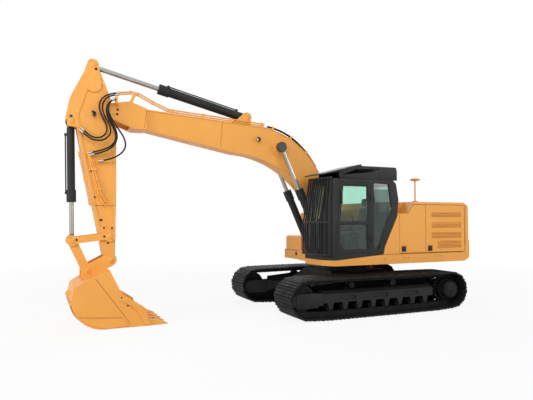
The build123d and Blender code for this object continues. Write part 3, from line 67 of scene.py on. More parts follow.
# Sizes shared with the parts.
HOUSE_HALF = 1.390
HOSE_R = 0.016
SEAT_Y = 0.920
SEAT_HALF = 0.260
CAB_FLOOR = 1.3503
CAB_TOP = 2.952
REAR_PANE = -0.480
TRACK_MID = 1.295
FRAME_HALF = 0.165
DRIVE_HUB = (-1.915, 0.440)
BOOM_CYLINDER_Y = 0.310

# The left and the right of the machine.
SIDES = (1.0, -1.0)

SCENE = bpy.context.scene
SCENE.view_settings.view_transform = "Standard"


def at(x, y, z):
    """A place on the machine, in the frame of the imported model."""
    return Vector((x + SLEW_X, y, z))


def link_frame(origin, angle):
    """A map from along and across a link to machine x and z."""
    c = cos(radians(angle))
    s = sin(radians(angle))
    return lambda u, v: (origin[0] + u * c - v * s, origin[1] + u * s + v * c)


FOOT_PIN = (0.169, 1.900)
boom_at = link_frame(FOOT_PIN, 23.2)
STICK_PIN = boom_at(5.900, 0.0)
stick_at = link_frame(STICK_PIN, -90.3)
BUCKET_PIN = stick_at(2.950, 0.0)
BOOM_ROD_PIN = boom_at(2.262, 1.011)
BOOM_BASE_PIN = (0.780, 1.400)
STICK_BASE_PIN = boom_at(3.240, 1.300)
STICK_ROD_PIN = stick_at(-0.925, 0.345)
BUCKET_BASE_PIN = stick_at(0.220, 0.742)
LINK_PIVOT = stick_at(2.482, 0.005)
LINK_PIN = stick_at(2.560, 0.700)
bucket_at = link_frame(BUCKET_PIN, 0.0)
BUCKET_LINK_PIN = bucket_at(0.433, -0.201)


def add_camera():
    """The view from the left front, about two metres up."""
    data = bpy.data.cameras.new("camera")
    data.sensor_fit = "HORIZONTAL"
    data.angle = radians(CAMERA_VIEW)
    data.clip_end = 300.0
    camera = bpy.data.objects.new("camera", data)
    camera.location = at(*CAMERA_PLACE)
    yaw = radians(CAMERA_YAW)
    pitch = radians(CAMERA_PITCH)
    ahead = Vector((cos(pitch) * cos(yaw), cos(pitch) * sin(yaw), sin(pitch)))
    camera.rotation_euler = ahead.to_track_quat("-Z", "Y").to_euler()
    SCENE.collection.objects.link(camera)
    SCENE.camera = camera


# Finishes.
def new_material(name):
    """A material with its node tree and main shader."""
    material = bpy.data.materials.new(name)
    material.use_nodes = True
    tree = material.node_tree
    return material, tree, tree.nodes["Principled BSDF"]


def node(tree, kind, **sockets):
    """A node of that kind with its inputs set by name."""
    made = tree.nodes.new(kind)
    for name, value in sockets.items():
        made.inputs[name.replace("_", " ")].default_value = value
    return made


def math_node(tree, operation, first, second):
    """A math node fed by sockets or plain numbers."""
    made = tree.nodes.new("ShaderNodeMath")
    made.operation = operation
    for socket, value in zip(made.inputs, (first, second)):
        if isinstance(value, (int, float)):
            socket.default_value = value
        else:
            tree.links.new(value, socket)
    return made.outputs["Value"]


def own_place(tree):
    """The model's own coordinates, which stay with the piece."""
    return tree.nodes.new("ShaderNodeTexCoord").outputs["Object"]


def own_axes(tree):
    """The model's own coordinates, one by one."""
    split = tree.nodes.new("ShaderNodeSeparateXYZ")
    tree.links.new(own_place(tree), split.inputs["Vector"])
    return split.outputs


def place_noise(tree, scale, detail=4.0):
    """Noise that stays with the piece."""
    noise = node(tree, "ShaderNodeTexNoise", Scale=scale, Detail=detail)
    tree.links.new(own_place(tree), noise.inputs["Vector"])
    return noise.outputs["Fac"]


def wave(tree, **sockets):
    """Parallel waves that stay with the piece."""
    made = node(tree, "ShaderNodeTexWave", **sockets)
    tree.links.new(own_place(tree), made.inputs["Vector"])
    return made.outputs["Fac"]


def mixed(tree, share, first, second):
    """A colour that goes from the first to the second as the share goes from 0 to 1."""
    mix = tree.nodes.new("ShaderNodeMix")
    mix.data_type = "RGBA"
    tree.links.new(share, mix.inputs[0])
    for socket, colour in ((mix.inputs[6], first), (mix.inputs[7], second)):
        if isinstance(colour, tuple):
            socket.default_value = (*colour, 1.0)
        else:
            tree.links.new(colour, socket)
    return mix.outputs[2]


def raised(tree, shader, height, strength, depth):
    """Relief on the shader's normal, from a height between 0 and 1."""
    relief = node(tree, "ShaderNodeBump", Strength=strength, Distance=depth)
    tree.links.new(height, relief.inputs["Height"])
    tree.links.new(relief.outputs["Normal"], shader.inputs["Normal"])
    return relief


def ramp(tree, source, low, high, first, second):
    """A colour ramp from one colour to another between two levels of a source."""
    made = tree.nodes.new("ShaderNodeValToRGB")
    made.color_ramp.elements[0].position = low
    made.color_ramp.elements[0].color = (*first, 1.0)
    made.color_ramp.elements[1].position = high
    made.color_ramp.elements[1].color = (*second, 1.0)
    tree.links.new(source, made.inputs["Fac"])
    return made.outputs["Color"]


def grey(level):
    """A colour without hue."""
    return (level, level, level)


def rounded_edges_and_highlight(tree, radius):
    """How far a rounded edge turns from its face, which sets where a painted highlight in a lighter tone lies
    along the edges.
    """
    soft = node(tree, "ShaderNodeBevel", Radius=radius)
    flat = tree.nodes.new("ShaderNodeNewGeometry")
    turn = tree.nodes.new("ShaderNodeVectorMath")
    turn.operation = "DOT_PRODUCT"
    tree.links.new(soft.outputs["Normal"], turn.inputs[0])
    tree.links.new(flat.outputs["Normal"], turn.inputs[1])
    return soft.outputs["Normal"], turn.outputs["Value"]


def paint(name, light, dark, edge_highlight, roughness, coat, specular=0.5, bump=0.02, edge=0.007):
    """Sprayed paint: slow changes of tone, fine orange peel, bevelled edges that catch the light, and a painted
    highlight in a lighter tone along the edges.
    """
    material, tree, shader = new_material(name)
    tone = ramp(tree, place_noise(tree, 1.3), 0.35, 0.65, dark, light)
    normal, turn = rounded_edges_and_highlight(tree, edge)
    # Painted highlight: rounded edges are mixed towards the lighter edge tone.
    wear_and_edge_highlight = ramp(tree, turn, 0.80, 0.99, grey(0.55), grey(0.0))
    tree.links.new(mixed(tree, wear_and_edge_highlight, tone, edge_highlight), shader.inputs["Base Color"])
    gloss = ramp(tree, place_noise(tree, 9.0), 0.3, 0.7, grey(roughness - 0.06), grey(roughness + 0.08))
    tree.links.new(gloss, shader.inputs["Roughness"])
    shader.inputs["Specular IOR Level"].default_value = specular
    shader.inputs["Coat Weight"].default_value = coat
    shader.inputs["Coat Roughness"].default_value = 0.15
    peel = raised(tree, shader, place_noise(tree, 220.0, 2.0), bump, 0.002)
    tree.links.new(normal, peel.inputs["Normal"])
    return material


def steel(name, light, dark, roughness, scale, metallic, specular=0.5):
    """Cast or rolled steel with worn patches."""
    material, tree, shader = new_material(name)
    wear_and_edge_highlight = place_noise(tree, scale, 6.0)
    tree.links.new(ramp(tree, wear_and_edge_highlight, 0.38, 0.62, dark, light), shader.inputs["Base Color"])
    gloss = ramp(tree, wear_and_edge_highlight, 0.3, 0.7, grey(roughness + 0.1), grey(roughness - 0.1))
    tree.links.new(gloss, shader.inputs["Roughness"])
    shader.inputs["Metallic"].default_value = metallic
    shader.inputs["Specular IOR Level"].default_value = specular
    pits = raised(tree, shader, place_noise(tree, scale * 14.0, 5.0), 0.15, 0.003)
    soft = node(tree, "ShaderNodeBevel", Radius=0.004)
    tree.links.new(soft.outputs["Normal"], pits.inputs["Normal"])
    return material


def rod_finish(name, pin, reach):
    """A polished rod whose eye, round its pin, is painted black."""
    material = steel(name, *CHROME, *POLISH)
    tree = material.node_tree
    shader = tree.nodes["Principled BSDF"]
    axes = own_axes(tree)
    centre = at(pin[0], 0.0, pin[1])
    across = math_node(tree, "SUBTRACT", axes["X"], centre.x)
    above = math_node(tree, "SUBTRACT", axes["Z"], centre.z)
    square = math_node(
        tree, "ADD", math_node(tree, "MULTIPLY", across, across), math_node(tree, "MULTIPLY", above, above)
    )
    bare = math_node(tree, "GREATER_THAN", square, reach * reach)
    polish = shader.inputs["Base Color"].links[0].from_socket
    tree.links.new(mixed(tree, bare, EYE_BLACK, polish), shader.inputs["Base Color"])
    tree.links.new(bare, shader.inputs["Metallic"])
    return material


def glass():
    """Green tinted safety glass; the pane behind the seat is darker, as painted shade for the dark cab seen
    through it.
    """
    material, tree, shader = new_material("tinted_glass")
    tint = ramp(tree, place_noise(tree, 0.8), 0.3, 0.7, *GREEN_TINT)
    ahead = math_node(tree, "GREATER_THAN", own_axes(tree)["X"], at(REAR_PANE, 0.0, 0.0).x)
    tree.links.new(mixed(tree, ahead, REAR_PANE_SHADE, tint), shader.inputs["Base Color"])
    shader.inputs["Transmission Weight"].default_value = 1.0
    shader.inputs["Roughness"].default_value = 0.02
    shader.inputs["IOR"].default_value = 1.45
    return material


def lens():
    """A ribbed clear lens over a lamp's reflector."""
    material, tree, shader = new_material("lamp_lens")
    ribs = wave(tree, Scale=60.0, Distortion=0.0)
    tone = ramp(tree, ribs, 0.2, 0.8, grey(0.45), grey(0.75))
    tree.links.new(tone, shader.inputs["Base Color"])
    shader.inputs["Roughness"].default_value = 0.12
    shader.inputs["Coat Weight"].default_value = 1.0
    raised(tree, shader, ribs, 0.4, 0.002)
    return material


def fabric(name, light, dark):
    """Woven seat cloth."""
    material, tree, shader = new_material(name)
    weave = wave(tree, Scale=160.0, Distortion=1.5, Detail=2.0)
    tree.links.new(ramp(tree, weave, 0.2, 0.8, dark, light), shader.inputs["Base Color"])
    shader.inputs["Roughness"].default_value = 0.9
    shader.inputs["Sheen Weight"].default_value = 0.3
    raised(tree, shader, weave, 0.3, 0.001)
    return material


# Colours, each the light tone, the dark tone and, for paint, the tone of the painted highlight along edges.
CHROME = ((0.42, 0.415, 0.40), (0.36, 0.355, 0.34))
YELLOW = ((0.86, 0.390, 0.077), (0.82, 0.366, 0.069), (0.95, 0.52, 0.17))
# Dark brown of painted shade along seams and joints.
SEAM_SHADE = ((0.24, 0.105, 0.025), (0.19, 0.082, 0.020), (0.26, 0.12, 0.03))
# Near-black for painted shade: sheets and marks set where recesses and gaps lie in shade.
SHADE_BLACK = ((0.006, 0.006, 0.006), (0.004, 0.004, 0.004), (0.010, 0.010, 0.010))
BLACK = ((0.020, 0.020, 0.021), (0.013, 0.013, 0.014), (0.05, 0.05, 0.05))
SHOE = ((0.012, 0.012, 0.012), (0.005, 0.005, 0.005))
ZINC = ((0.50, 0.50, 0.48), (0.38, 0.38, 0.37))
CLOTH = ((0.035, 0.035, 0.037), (0.015, 0.015, 0.016))
GREEN_TINT = ((0.60, 0.86, 0.75), (0.64, 0.88, 0.78))
# Painted shade: the pane behind the seat is darkened for the dark inside seen through it.
REAR_PANE_SHADE = (0.16, 0.19, 0.18)
EYE_BLACK = (0.018, 0.018, 0.019)

# Polished steel: its roughness, the scale of its wear, and how metallic it is.
POLISH = (0.24, 3.0, 1.0)


def make_materials():
    """Every finish on the machine, by name."""
    return {
        "body_paint": paint("body_paint", *YELLOW, 0.48, 0.06, specular=0.35),
        "dark_paint": paint("dark_paint", *BLACK, 0.6, 0.0, specular=0.22),
        "shadow_paint": paint("shadow_paint", *SHADE_BLACK, 0.8, 0.0, specular=0.08),
        "guard_paint": paint("guard_paint", *BLACK, 0.55, 0.0, specular=0.25),
        "track_steel": steel("track_steel", *SHOE, 0.6, 6.0, 0.0, specular=0.18),
        "tooth_steel": paint("tooth_steel", *YELLOW, 0.5, 0.0, specular=0.35),
        "rod_chrome": steel("rod_chrome", *CHROME, *POLISH),
        "boom_rod": rod_finish("boom_rod", BOOM_ROD_PIN, 0.125),
        "stick_rod": rod_finish("stick_rod", STICK_ROD_PIN, 0.120),
        "bucket_rod": rod_finish("bucket_rod", LINK_PIN, 0.120),
        "tinted_glass": glass(),
        "lamp_lens": lens(),
        "seam_shade": paint("seam_shade", *SEAM_SHADE, 0.6, 0.0, specular=0.2),
        "zinc": steel("zinc", *ZINC, 0.35, 40.0, 0.9),
        "seat_fabric": fabric("seat_fabric", *CLOTH),
        "dark_plastic": paint("dark_plastic", *BLACK, 0.6, 0.0, specular=0.25, bump=0.06),
        "black_rubber": paint("black_rubber", *BLACK, 0.62, 0.0, specular=0.2, bump=0.08, edge=0.002),
    }


ROD_FINISH = {"boom_rods": "boom_rod", "stick_rod": "stick_rod", "bucket_rod": "bucket_rod"}


def finish_nodes(materials):
    """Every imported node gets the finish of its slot, and the rods their painted eyes."""
    for part in frame["record"]["subparts"]:
        mesh = frame["nodes"][part["node"]].data
        mesh.materials.clear()
        mesh.materials.append(materials[ROD_FINISH.get(part["node"], part["material_slot"])])


# Surround, floor and lamps.
def seen_directly(tree):
    """One where a ray comes from the camera, a mirror or through glass."""
    path = tree.nodes.new("ShaderNodeLightPath")
    first = math_node(tree, "MAXIMUM", path.outputs["Is Camera Ray"], path.outputs["Is Glossy Ray"])
    return math_node(tree, "MAXIMUM", first, path.outputs["Is Transmission Ray"])


def add_world():
    """A white surround for the camera, mirrors and glass, and a softer one for light."""
    world = bpy.data.worlds.new("surround")
    world.use_nodes = True
    SCENE.world = world
    tree = world.node_tree
    tree.nodes.clear()
    out = tree.nodes.new("ShaderNodeOutputWorld")
    mix = tree.nodes.new("ShaderNodeMixShader")
    lit = node(tree, "ShaderNodeBackground", Color=(0.96, 0.98, 1.0, 1.0), Strength=0.30)
    seen = node(tree, "ShaderNodeBackground", Color=(1.0, 1.0, 1.0, 1.0), Strength=1.0)
    tree.links.new(seen_directly(tree), mix.inputs["Fac"])
    tree.links.new(lit.outputs["Background"], mix.inputs[1])
    tree.links.new(seen.outputs["Background"], mix.inputs[2])
    tree.links.new(mix.outputs["Shader"], out.inputs["Surface"])


FLOOR_REACH = 120.0
FLOOR_GLOW = 0.89
FLOOR_FADE = (6.0, 16.0)


def add_floor():
    """A pale floor that keeps a soft shadow near the machine and fades to white away from it."""
    material = bpy.data.materials.new("pale_floor")
    material.use_nodes = True
    tree = material.node_tree
    tree.nodes.clear()
    out = tree.nodes.new("ShaderNodeOutputMaterial")
    plain = node(tree, "ShaderNodeBsdfDiffuse", Color=(0.90, 0.90, 0.89, 1.0))
    glow = node(tree, "ShaderNodeEmission", Color=(1.0, 1.0, 1.0, 1.0), Strength=1.0)
    mix = tree.nodes.new("ShaderNodeMixShader")
    away = tree.nodes.new("ShaderNodeVectorMath")
    away.operation = "LENGTH"
    tree.links.new(own_place(tree), away.inputs[0])
    fade = tree.nodes.new("ShaderNodeMapRange")
    tree.links.new(away.outputs["Value"], fade.inputs["Value"])
    fade.inputs["From Min"].default_value = FLOOR_FADE[0]
    fade.inputs["From Max"].default_value = FLOOR_FADE[1]
    fade.inputs["To Min"].default_value = FLOOR_GLOW
    fade.inputs["To Max"].default_value = 1.0
    share = math_node(tree, "MULTIPLY", seen_directly(tree), fade.outputs["Result"])
    tree.links.new(share, mix.inputs["Fac"])
    tree.links.new(plain.outputs["BSDF"], mix.inputs[1])
    tree.links.new(glow.outputs["Emission"], mix.inputs[2])
    tree.links.new(mix.outputs["Shader"], out.inputs["Surface"])
    mesh = bpy.data.meshes.new("floor")
    r = FLOOR_REACH
    mesh.from_pydata([(-r, -r, 0), (r, -r, 0), (r, r, 0), (-r, r, 0)], [], [(0, 1, 2, 3)])
    mesh.materials.append(material)
    floor = bpy.data.objects.new("floor", mesh)
    SCENE.collection.objects.link(floor)


def add_lamp(name, place, target, size, power, colour):
    """A round soft lamp aimed at a target."""
    data = bpy.data.lights.new(name, "AREA")
    data.shape = "DISK"
    data.size = size
    data.energy = power
    data.color = colour
    lamp = bpy.data.objects.new(name, data)
    lamp.location = place
    lamp.rotation_euler = (Vector(target) - Vector(place)).to_track_quat("-Z", "Y").to_euler()
    SCENE.collection.objects.link(lamp)


def add_lamps():
    """Four soft lamps round the machine, strongest at the left and the front."""
    middle = (0.0, 0.0, 2.0)
    add_lamp("key", (7.0, 15.0, 13.0), middle, 9.0, 1250.0, (1.0, 0.98, 0.95))
    add_lamp("front", (17.0, 5.0, 7.0), middle, 8.0, 1200.0, (1.0, 0.98, 0.96))
    add_lamp("side", (-12.0, 14.0, 8.0), middle, 9.0, 750.0, (1.0, 0.98, 0.96))
    add_lamp("back", (-6.0, -14.0, 12.0), middle, 9.0, 900.0, (0.97, 0.98, 1.0))


def past(a, b, reach):
    """The point that far past b on the line from a."""
    return tuple(Vector(b) + (Vector(b) - Vector(a)).normalized() * reach)


def tube_end(rise):
    """The last run of a rigid tube at the boom's nose."""
    first = boom_at(5.720, 0.475 + rise)
    last = boom_at(5.928, 0.333 + rise)
    return (first[0], 0.235, first[1]), (last[0], 0.235, last[1])


LOW_TUBE = tube_end(0.030)
HIGH_TUBE = tube_end(0.075)

# Hoses from the boom's nose to the stick: the length of each and the points of its line.
HOSES = {
    "nose_hose_1": (1.612, [
        HIGH_TUBE[1], past(*HIGH_TUBE, 0.160), (5.765, 0.236, 4.485), (5.828, 0.236, 4.340),
        (5.800, 0.238, 4.180), (5.672, 0.242, 3.945), (5.668, 0.244, 3.790), (5.775, 0.246, 3.682),
        (5.915, 0.242, 3.672), (6.037, 0.228, 3.745), (6.125, 0.213, 3.835),
    ]),
    "nose_hose_2": (1.658, [
        LOW_TUBE[1], past(*LOW_TUBE, 0.140), (5.728, 0.256, 4.440), (5.775, 0.284, 4.290),
        (5.738, 0.296, 4.130), (5.606, 0.300, 3.905), (5.608, 0.300, 3.740), (5.735, 0.290, 3.628),
        (5.900, 0.272, 3.615), (6.040, 0.248, 3.690), (6.145, 0.217, 3.790),
    ]),
    "nose_hose_3": (1.467, [
        (5.560, 0.330, 4.440), (5.635, 0.331, 4.395), (5.690, 0.333, 4.305), (5.700, 0.336, 4.195),
        (5.650, 0.338, 4.030), (5.540, 0.334, 3.850), (5.495, 0.318, 3.690), (5.558, 0.288, 3.545),
        (5.700, 0.254, 3.460), (5.855, 0.225, 3.410), (5.985, 0.203, 3.380),
    ]),
    "nose_hose_4": (1.475, [
        (5.560, 0.374, 4.440), (5.630, 0.375, 4.392), (5.678, 0.376, 4.298), (5.682, 0.377, 4.188),
        (5.622, 0.377, 4.030), (5.512, 0.372, 3.845), (5.478, 0.356, 3.670), (5.545, 0.324, 3.515),
        (5.680, 0.280, 3.425), (5.825, 0.240, 3.372), (5.945, 0.210, 3.342),
    ]),
    "nose_hose_5": (1.636, [
        (5.560, 0.418, 4.440), (5.626, 0.419, 4.388), (5.668, 0.420, 4.292), (5.668, 0.419, 4.182),
        (5.598, 0.416, 4.030), (5.480, 0.408, 3.860), (5.362, 0.388, 3.700), (5.312, 0.356, 3.545),
        (5.368, 0.320, 3.405), (5.500, 0.285, 3.308), (5.645, 0.250, 3.252), (5.770, 0.218, 3.228),
    ]),
}


def add_hoses(materials):
    """Five hoses that loop from the boom's nose to the stick."""
    for name, (length, route) in HOSES.items():
        points = [at(*p) for p in route]
        data = bpy.data.curves.new(name + "_line", "CURVE")
        data.dimensions = "3D"
        data.resolution_u = 10
        spline = data.splines.new("NURBS")
        spline.points.add(len(points) - 1)
        for knot, p in zip(spline.points, points):
            knot.co = (*p, 1.0)
        spline.order_u = 3
        spline.use_endpoint_u = True
        line = bpy.data.objects.new(name + "_line", data)
        path = [tuple(v.co) for v in bpy.data.meshes.new_from_object(line).vertices]
        data.bevel_depth = HOSE_R
        data.bevel_resolution = 3
        mesh = bpy.data.meshes.new_from_object(line)
        bpy.data.objects.remove(line)
        mesh.materials.clear()
        mesh.materials.append(materials["black_rubber"])
        mesh.shade_smooth()
        tube = bpy.data.objects.new(name + "_tube", mesh)
        SCENE.collection.objects.link(tube)
        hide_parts(name)
        points[0]
        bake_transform(tube)


# Trim: small solids are gathered in one mesh for each body and finish. TREES keeps the faces of each node
# that trim is seated on.
TREES = {}


def surface_y(name, x, z, side):
    """Where a node's outermost face lies across the machine, at that x and z."""
    if name not in TREES:
        mesh = frame["nodes"][name].data
        TREES[name] = BVHTree.FromPolygons(
            [v.co for v in mesh.vertices], [tuple(p.vertices) for p in mesh.polygons]
        )
    hit = TREES[name].ray_cast(at(x, 4.0 * side, z), Vector((0.0, -side, 0.0)))
    return None if hit[0] is None else hit[0].y


def turned(bm, place, axis, outline, sides):
    """A solid turned about an axis, from its (radius, height) outline."""
    turn = Vector(axis).to_track_quat("Z", "Y").to_matrix().to_4x4()
    spot = Matrix.Translation(place) @ turn
    rings = []
    for radius, height in outline:
        ring = []
        for k in range(sides):
            a = 2.0 * pi * k / sides
            ring.append(bm.verts.new(spot @ Vector((radius * cos(a), radius * sin(a), height))))
        rings.append(ring)
    for low, high in zip(rings, rings[1:]):
        for k in range(sides):
            bm.faces.new((low[k], low[(k + 1) % sides], high[(k + 1) % sides], high[k]))
    bm.faces.new(list(reversed(rings[0])))
    bm.faces.new(rings[-1])


def bolt(bm, place, axis, radius):
    """A hexagon head on its washer."""
    washer = [(radius * 1.35, -0.001), (radius * 1.35, radius * 0.18), (radius * 1.25, radius * 0.26)]
    turned(bm, place, axis, washer, 16)
    turned(bm, place, axis, [(radius, 0.0), (radius, radius * 0.75), (radius * 0.8, radius * 0.95)], 6)


def add_softened(bm, part, soft):
    """Round all edges of a part off and add it to a larger mesh."""
    bmesh.ops.bevel(part, geom=list(part.edges), offset=soft, segments=2, profile=0.5, affect="EDGES")
    mesh = bpy.data.meshes.new("part")
    part.to_mesh(mesh)
    part.free()
    bm.from_mesh(mesh)
    bpy.data.meshes.remove(mesh)


def rounded(bm, low, high, soft):
    """A block between two corners with its edges rounded."""
    part = bmesh.new()
    bmesh.ops.create_cube(part, size=1.0)
    for v in part.verts:
        v.co = Vector(low[k] + (high[k] - low[k]) * (v.co[k] + 0.5) for k in range(3))
    add_softened(bm, part, soft)


def slab(bm, outline, y0, y1, soft=0.003):
    """A plate with that outline in x and z, from y0 to y1, with softened edges."""
    part = bmesh.new()
    near = [part.verts.new(at(x, y0, z)) for x, z in outline]
    far = [part.verts.new(at(x, y1, z)) for x, z in outline]
    part.faces.new(near)
    part.faces.new(list(reversed(far)))
    for k in range(len(outline)):
        n = (k + 1) % len(outline)
        part.faces.new((near[k], far[k], far[n], near[n]))
    add_softened(bm, part, soft)


def bead(bm, points, radius):
    """A thin round line through those points, half sunk in the face below."""
    for a, b in zip(points, points[1:]):
        run = Vector(b) - Vector(a)
        turned(bm, a, run, [(radius, 0.0), (radius, run.length)], 8)


def add_piece(name, bm, body, material):
    """One mesh of trim that rides on a body."""
    mesh = bpy.data.meshes.new(name)
    bmesh.ops.recalc_face_normals(bm, faces=bm.faces)
    bm.to_mesh(mesh)
    bm.free()
    mesh.materials.append(material)
    mesh.shade_smooth()
    mesh.set_sharp_from_angle(angle=radians(32.0))
    piece = bpy.data.objects.new(name, mesh)
    SCENE.collection.objects.link(piece)
    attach(piece, body)
    return piece


def add_pieces(prefix, meshes, material):
    """One mesh of trim for each body."""
    for body, bm in meshes.items():
        add_piece(prefix + body, bm, body, material)


# Pins: the body and node that carry each, its place, and its cap's radius.
PINS = (
    ("boom", "boom", STICK_PIN, 0.080),
    ("boom", "boom", STICK_BASE_PIN, 0.060),
    ("stick", "stick", STICK_ROD_PIN, 0.062),
    ("stick", "stick", BUCKET_BASE_PIN, 0.055),
    ("house", "upper_frame", FOOT_PIN, 0.070),
    ("idler_links", "idler_links", LINK_PIVOT, 0.058),
    ("idler_links", "idler_links", LINK_PIN, 0.058),
    ("bucket", "bucket", BUCKET_PIN, 0.062),
    ("bucket", "bucket", BUCKET_LINK_PIN, 0.058),
)

# Keeper bolts: their ring as a share of the cap's radius, its turn, their radius, and the most that the
# boss may step there.
KEEPER_RING = 1.32
KEEPER_ANGLE = 0.9
KEEPER_R = 0.012
KEEPER_STEP = 0.003


def add_pins(materials):
    """Pin caps on both sides of each pivot, each with two keeper bolts where its boss has room."""
    meshes = defaultdict(bmesh.new)
    for body, carrier, (x, z), radius in PINS:
        bm = meshes[body]
        for side in SIDES:
            y = surface_y(carrier, x, z, side)
            if y is None:
                continue
            cap = [(radius, -0.002), (radius, 0.007), (radius * 0.86, 0.012), (radius * 0.3, 0.013)]
            turned(bm, at(x, y, z), (0.0, side, 0.0), cap, 32)
            for k in (-1.0, 1.0):
                bx = x + k * radius * KEEPER_RING * cos(KEEPER_ANGLE)
                bz = z + k * radius * KEEPER_RING * sin(KEEPER_ANGLE)
                by = surface_y(carrier, bx, bz, side)
                if by is not None and abs(by - y) < KEEPER_STEP:
                    bolt(bm, at(bx, by, bz), (0.0, side, 0.0), KEEPER_R)
    add_pieces("pins_", meshes, materials["body_paint"])


# Seams between welded plates, as beads in a dark brown of painted shade: the body, the node they lie on, and their
# ends in x and z.
SEAMS = (
    ("boom", "boom", boom_at(3.716, 0.900), boom_at(3.543, 0.385)),
    ("boom", "boom", boom_at(5.295, 0.350), boom_at(5.185, -0.015)),
    ("stick", "stick", stick_at(1.880, 0.300), stick_at(1.880, -0.100)),
    ("bucket", "bucket", bucket_at(0.344, -0.275), bucket_at(-0.321, -1.181)),
    ("bucket", "bucket", bucket_at(0.614, -1.011), bucket_at(-0.172, -1.074)),
    ("house", "upper_frame", (-0.180, 1.284), (-2.500, 1.284)),
    ("house", "counterweight", (-2.600, 2.420), (-2.575, 1.185)),
)
SEAM_R = 0.004
SEAM_STEPS = 24
SEAM_DEPTH = 0.020


def add_seams(materials):
    """Lines in a dark painted shade that follow the faces they lie on, on both sides of the machine."""
    meshes = defaultdict(bmesh.new)
    for body, carrier, first, last in SEAMS:
        bm = meshes[body]
        for side in SIDES:
            met = []
            for k in range(SEAM_STEPS + 1):
                x = first[0] + (last[0] - first[0]) * k / SEAM_STEPS
                z = first[1] + (last[1] - first[1]) * k / SEAM_STEPS
                y = surface_y(carrier, x, z, side)
                if y is not None:
                    met.append(at(x, y, z))
            face = sorted(abs(place.y) for place in met)[len(met) // 2]
            run = [place for place in met if abs(abs(place.y) - face) < SEAM_DEPTH]
            bead(bm, run, SEAM_R)
    add_pieces("shaded_seams_", meshes, materials["seam_shade"])


# Plugs lie level with the face where the idler links swing past.
PLUG = ((0.020, -0.001), (0.020, 0.0008), (0.018, 0.0012))
FLUSH = 0.0

# Black bolt heads: the body, the node that carries them, their radius, and their places in x and z.
BOLTS = (
    ("stick", "stick", 0.019, ((5.885, 5.057), (6.334, 4.083), (5.752, 2.059))),
    ("stick", "stick", FLUSH, ((5.694, 1.901), (5.541, 1.899), (5.614, 1.602))),
    ("stick", "stick", 0.013, ((5.953, 3.022), (5.871, 2.512))),
    ("boom", "boom", 0.017, ((5.471, 4.261), (5.480, 4.169))),
    ("idler_links", "idler_links", 0.016, ((6.205, 1.673), (5.690, 1.734))),
    ("bucket", "bucket", 0.013, ((5.412, 0.581), (5.299, 0.422))),
    ("house", "upper_frame", 0.009, (
        (-0.190, 1.187), (-0.720, 1.190), (-0.840, 1.190), (-1.660, 1.208), (-1.790, 1.208),
    )),
)


def add_bolts(materials):
    """Bolt heads and plugs on both sides of the machine."""
    meshes = defaultdict(bmesh.new)
    for body, carrier, radius, places in BOLTS:
        bm = meshes[body]
        for x, z in places:
            for side in SIDES:
                y = surface_y(carrier, x, z, side)
                if y is None:
                    continue
                if radius == FLUSH:
                    turned(bm, at(x, y, z), (0.0, side, 0.0), PLUG, 20)
                else:
                    bolt(bm, at(x, y, z), (0.0, side, 0.0), radius)
    add_pieces("bolts_", meshes, materials["guard_paint"])


# Black sill below the cab: its stations in x and y along the deck's edge, with its low edge at each.
SILL = (
    (-0.150, HOUSE_HALF, 1.287),
    (1.105, HOUSE_HALF, 1.192),
    (1.290, 1.120, 1.192),
    (1.320, 0.450, 1.192),
)
SILL_TOP = 1.2905
SILL_IN = -0.001
SILL_OUT = 0.005


def add_sill(materials):
    """A thin strip that follows the deck's left front corner."""
    bm = bmesh.new()
    rings = []
    for k, (x, y, low) in enumerate(SILL):
        before = SILL[max(k - 1, 0)]
        after = SILL[min(k + 1, len(SILL) - 1)]
        out = Vector((before[1] - after[1], after[0] - before[0], 0.0)).normalized()
        ring = []
        for shift, z in ((SILL_IN, low), (SILL_OUT, low), (SILL_OUT, SILL_TOP), (SILL_IN, SILL_TOP)):
            ring.append(bm.verts.new(at(x, y, z) + out * shift))
        rings.append(ring)
    for first, second in zip(rings, rings[1:]):
        for k in range(4):
            n = (k + 1) % 4
            bm.faces.new((first[k], second[k], second[n], first[n]))
    bm.faces.new(rings[0])
    bm.faces.new(list(reversed(rings[-1])))
    add_piece("cab_sill", bm, "house", materials["guard_paint"])


# Front face at the right: an opening in the deck's edge and the joint below the tool box, both in near-black
# painted shade, and a cap in its front. Places are in y and z, and forms in radius and height.
TOOL_FRONT = 0.930
OPENING = (-0.737, 1.208)
OPENING_FORM = ((0.044, -0.001), (0.044, 0.004), (0.038, 0.006), (0.036, 0.002), (0.020, 0.0015))
JOINT_Z = 1.291
JOINT_Y = [-0.640 - 0.12 * k for k in range(7)]
JOINT_R = 0.005
CAP = (-0.760, 1.365)
CAP_FORM = ((0.0355, -0.010), (0.0355, -0.0005))


def add_right_front(materials):
    """Near-black painted shade in the opening and along the joint, and a painted cap on the faces beside the
    boom's foot.
    """
    bm = bmesh.new()
    ahead = (1.0, 0.0, 0.0)
    turned(bm, at(TOOL_FRONT, *OPENING), ahead, OPENING_FORM, 28)
    bead(bm, [at(TOOL_FRONT, y, JOINT_Z) for y in JOINT_Y], JOINT_R)
    # Painted shade: the opening and the joint are near-black for the shade inside them.
    add_piece("right_front_painted_shade", bm, "house", materials["shadow_paint"])
    plug = bmesh.new()
    turned(plug, at(TOOL_FRONT, *CAP), ahead, CAP_FORM, 28)
    add_piece("tool_box_plug", plug, "house", materials["body_paint"])


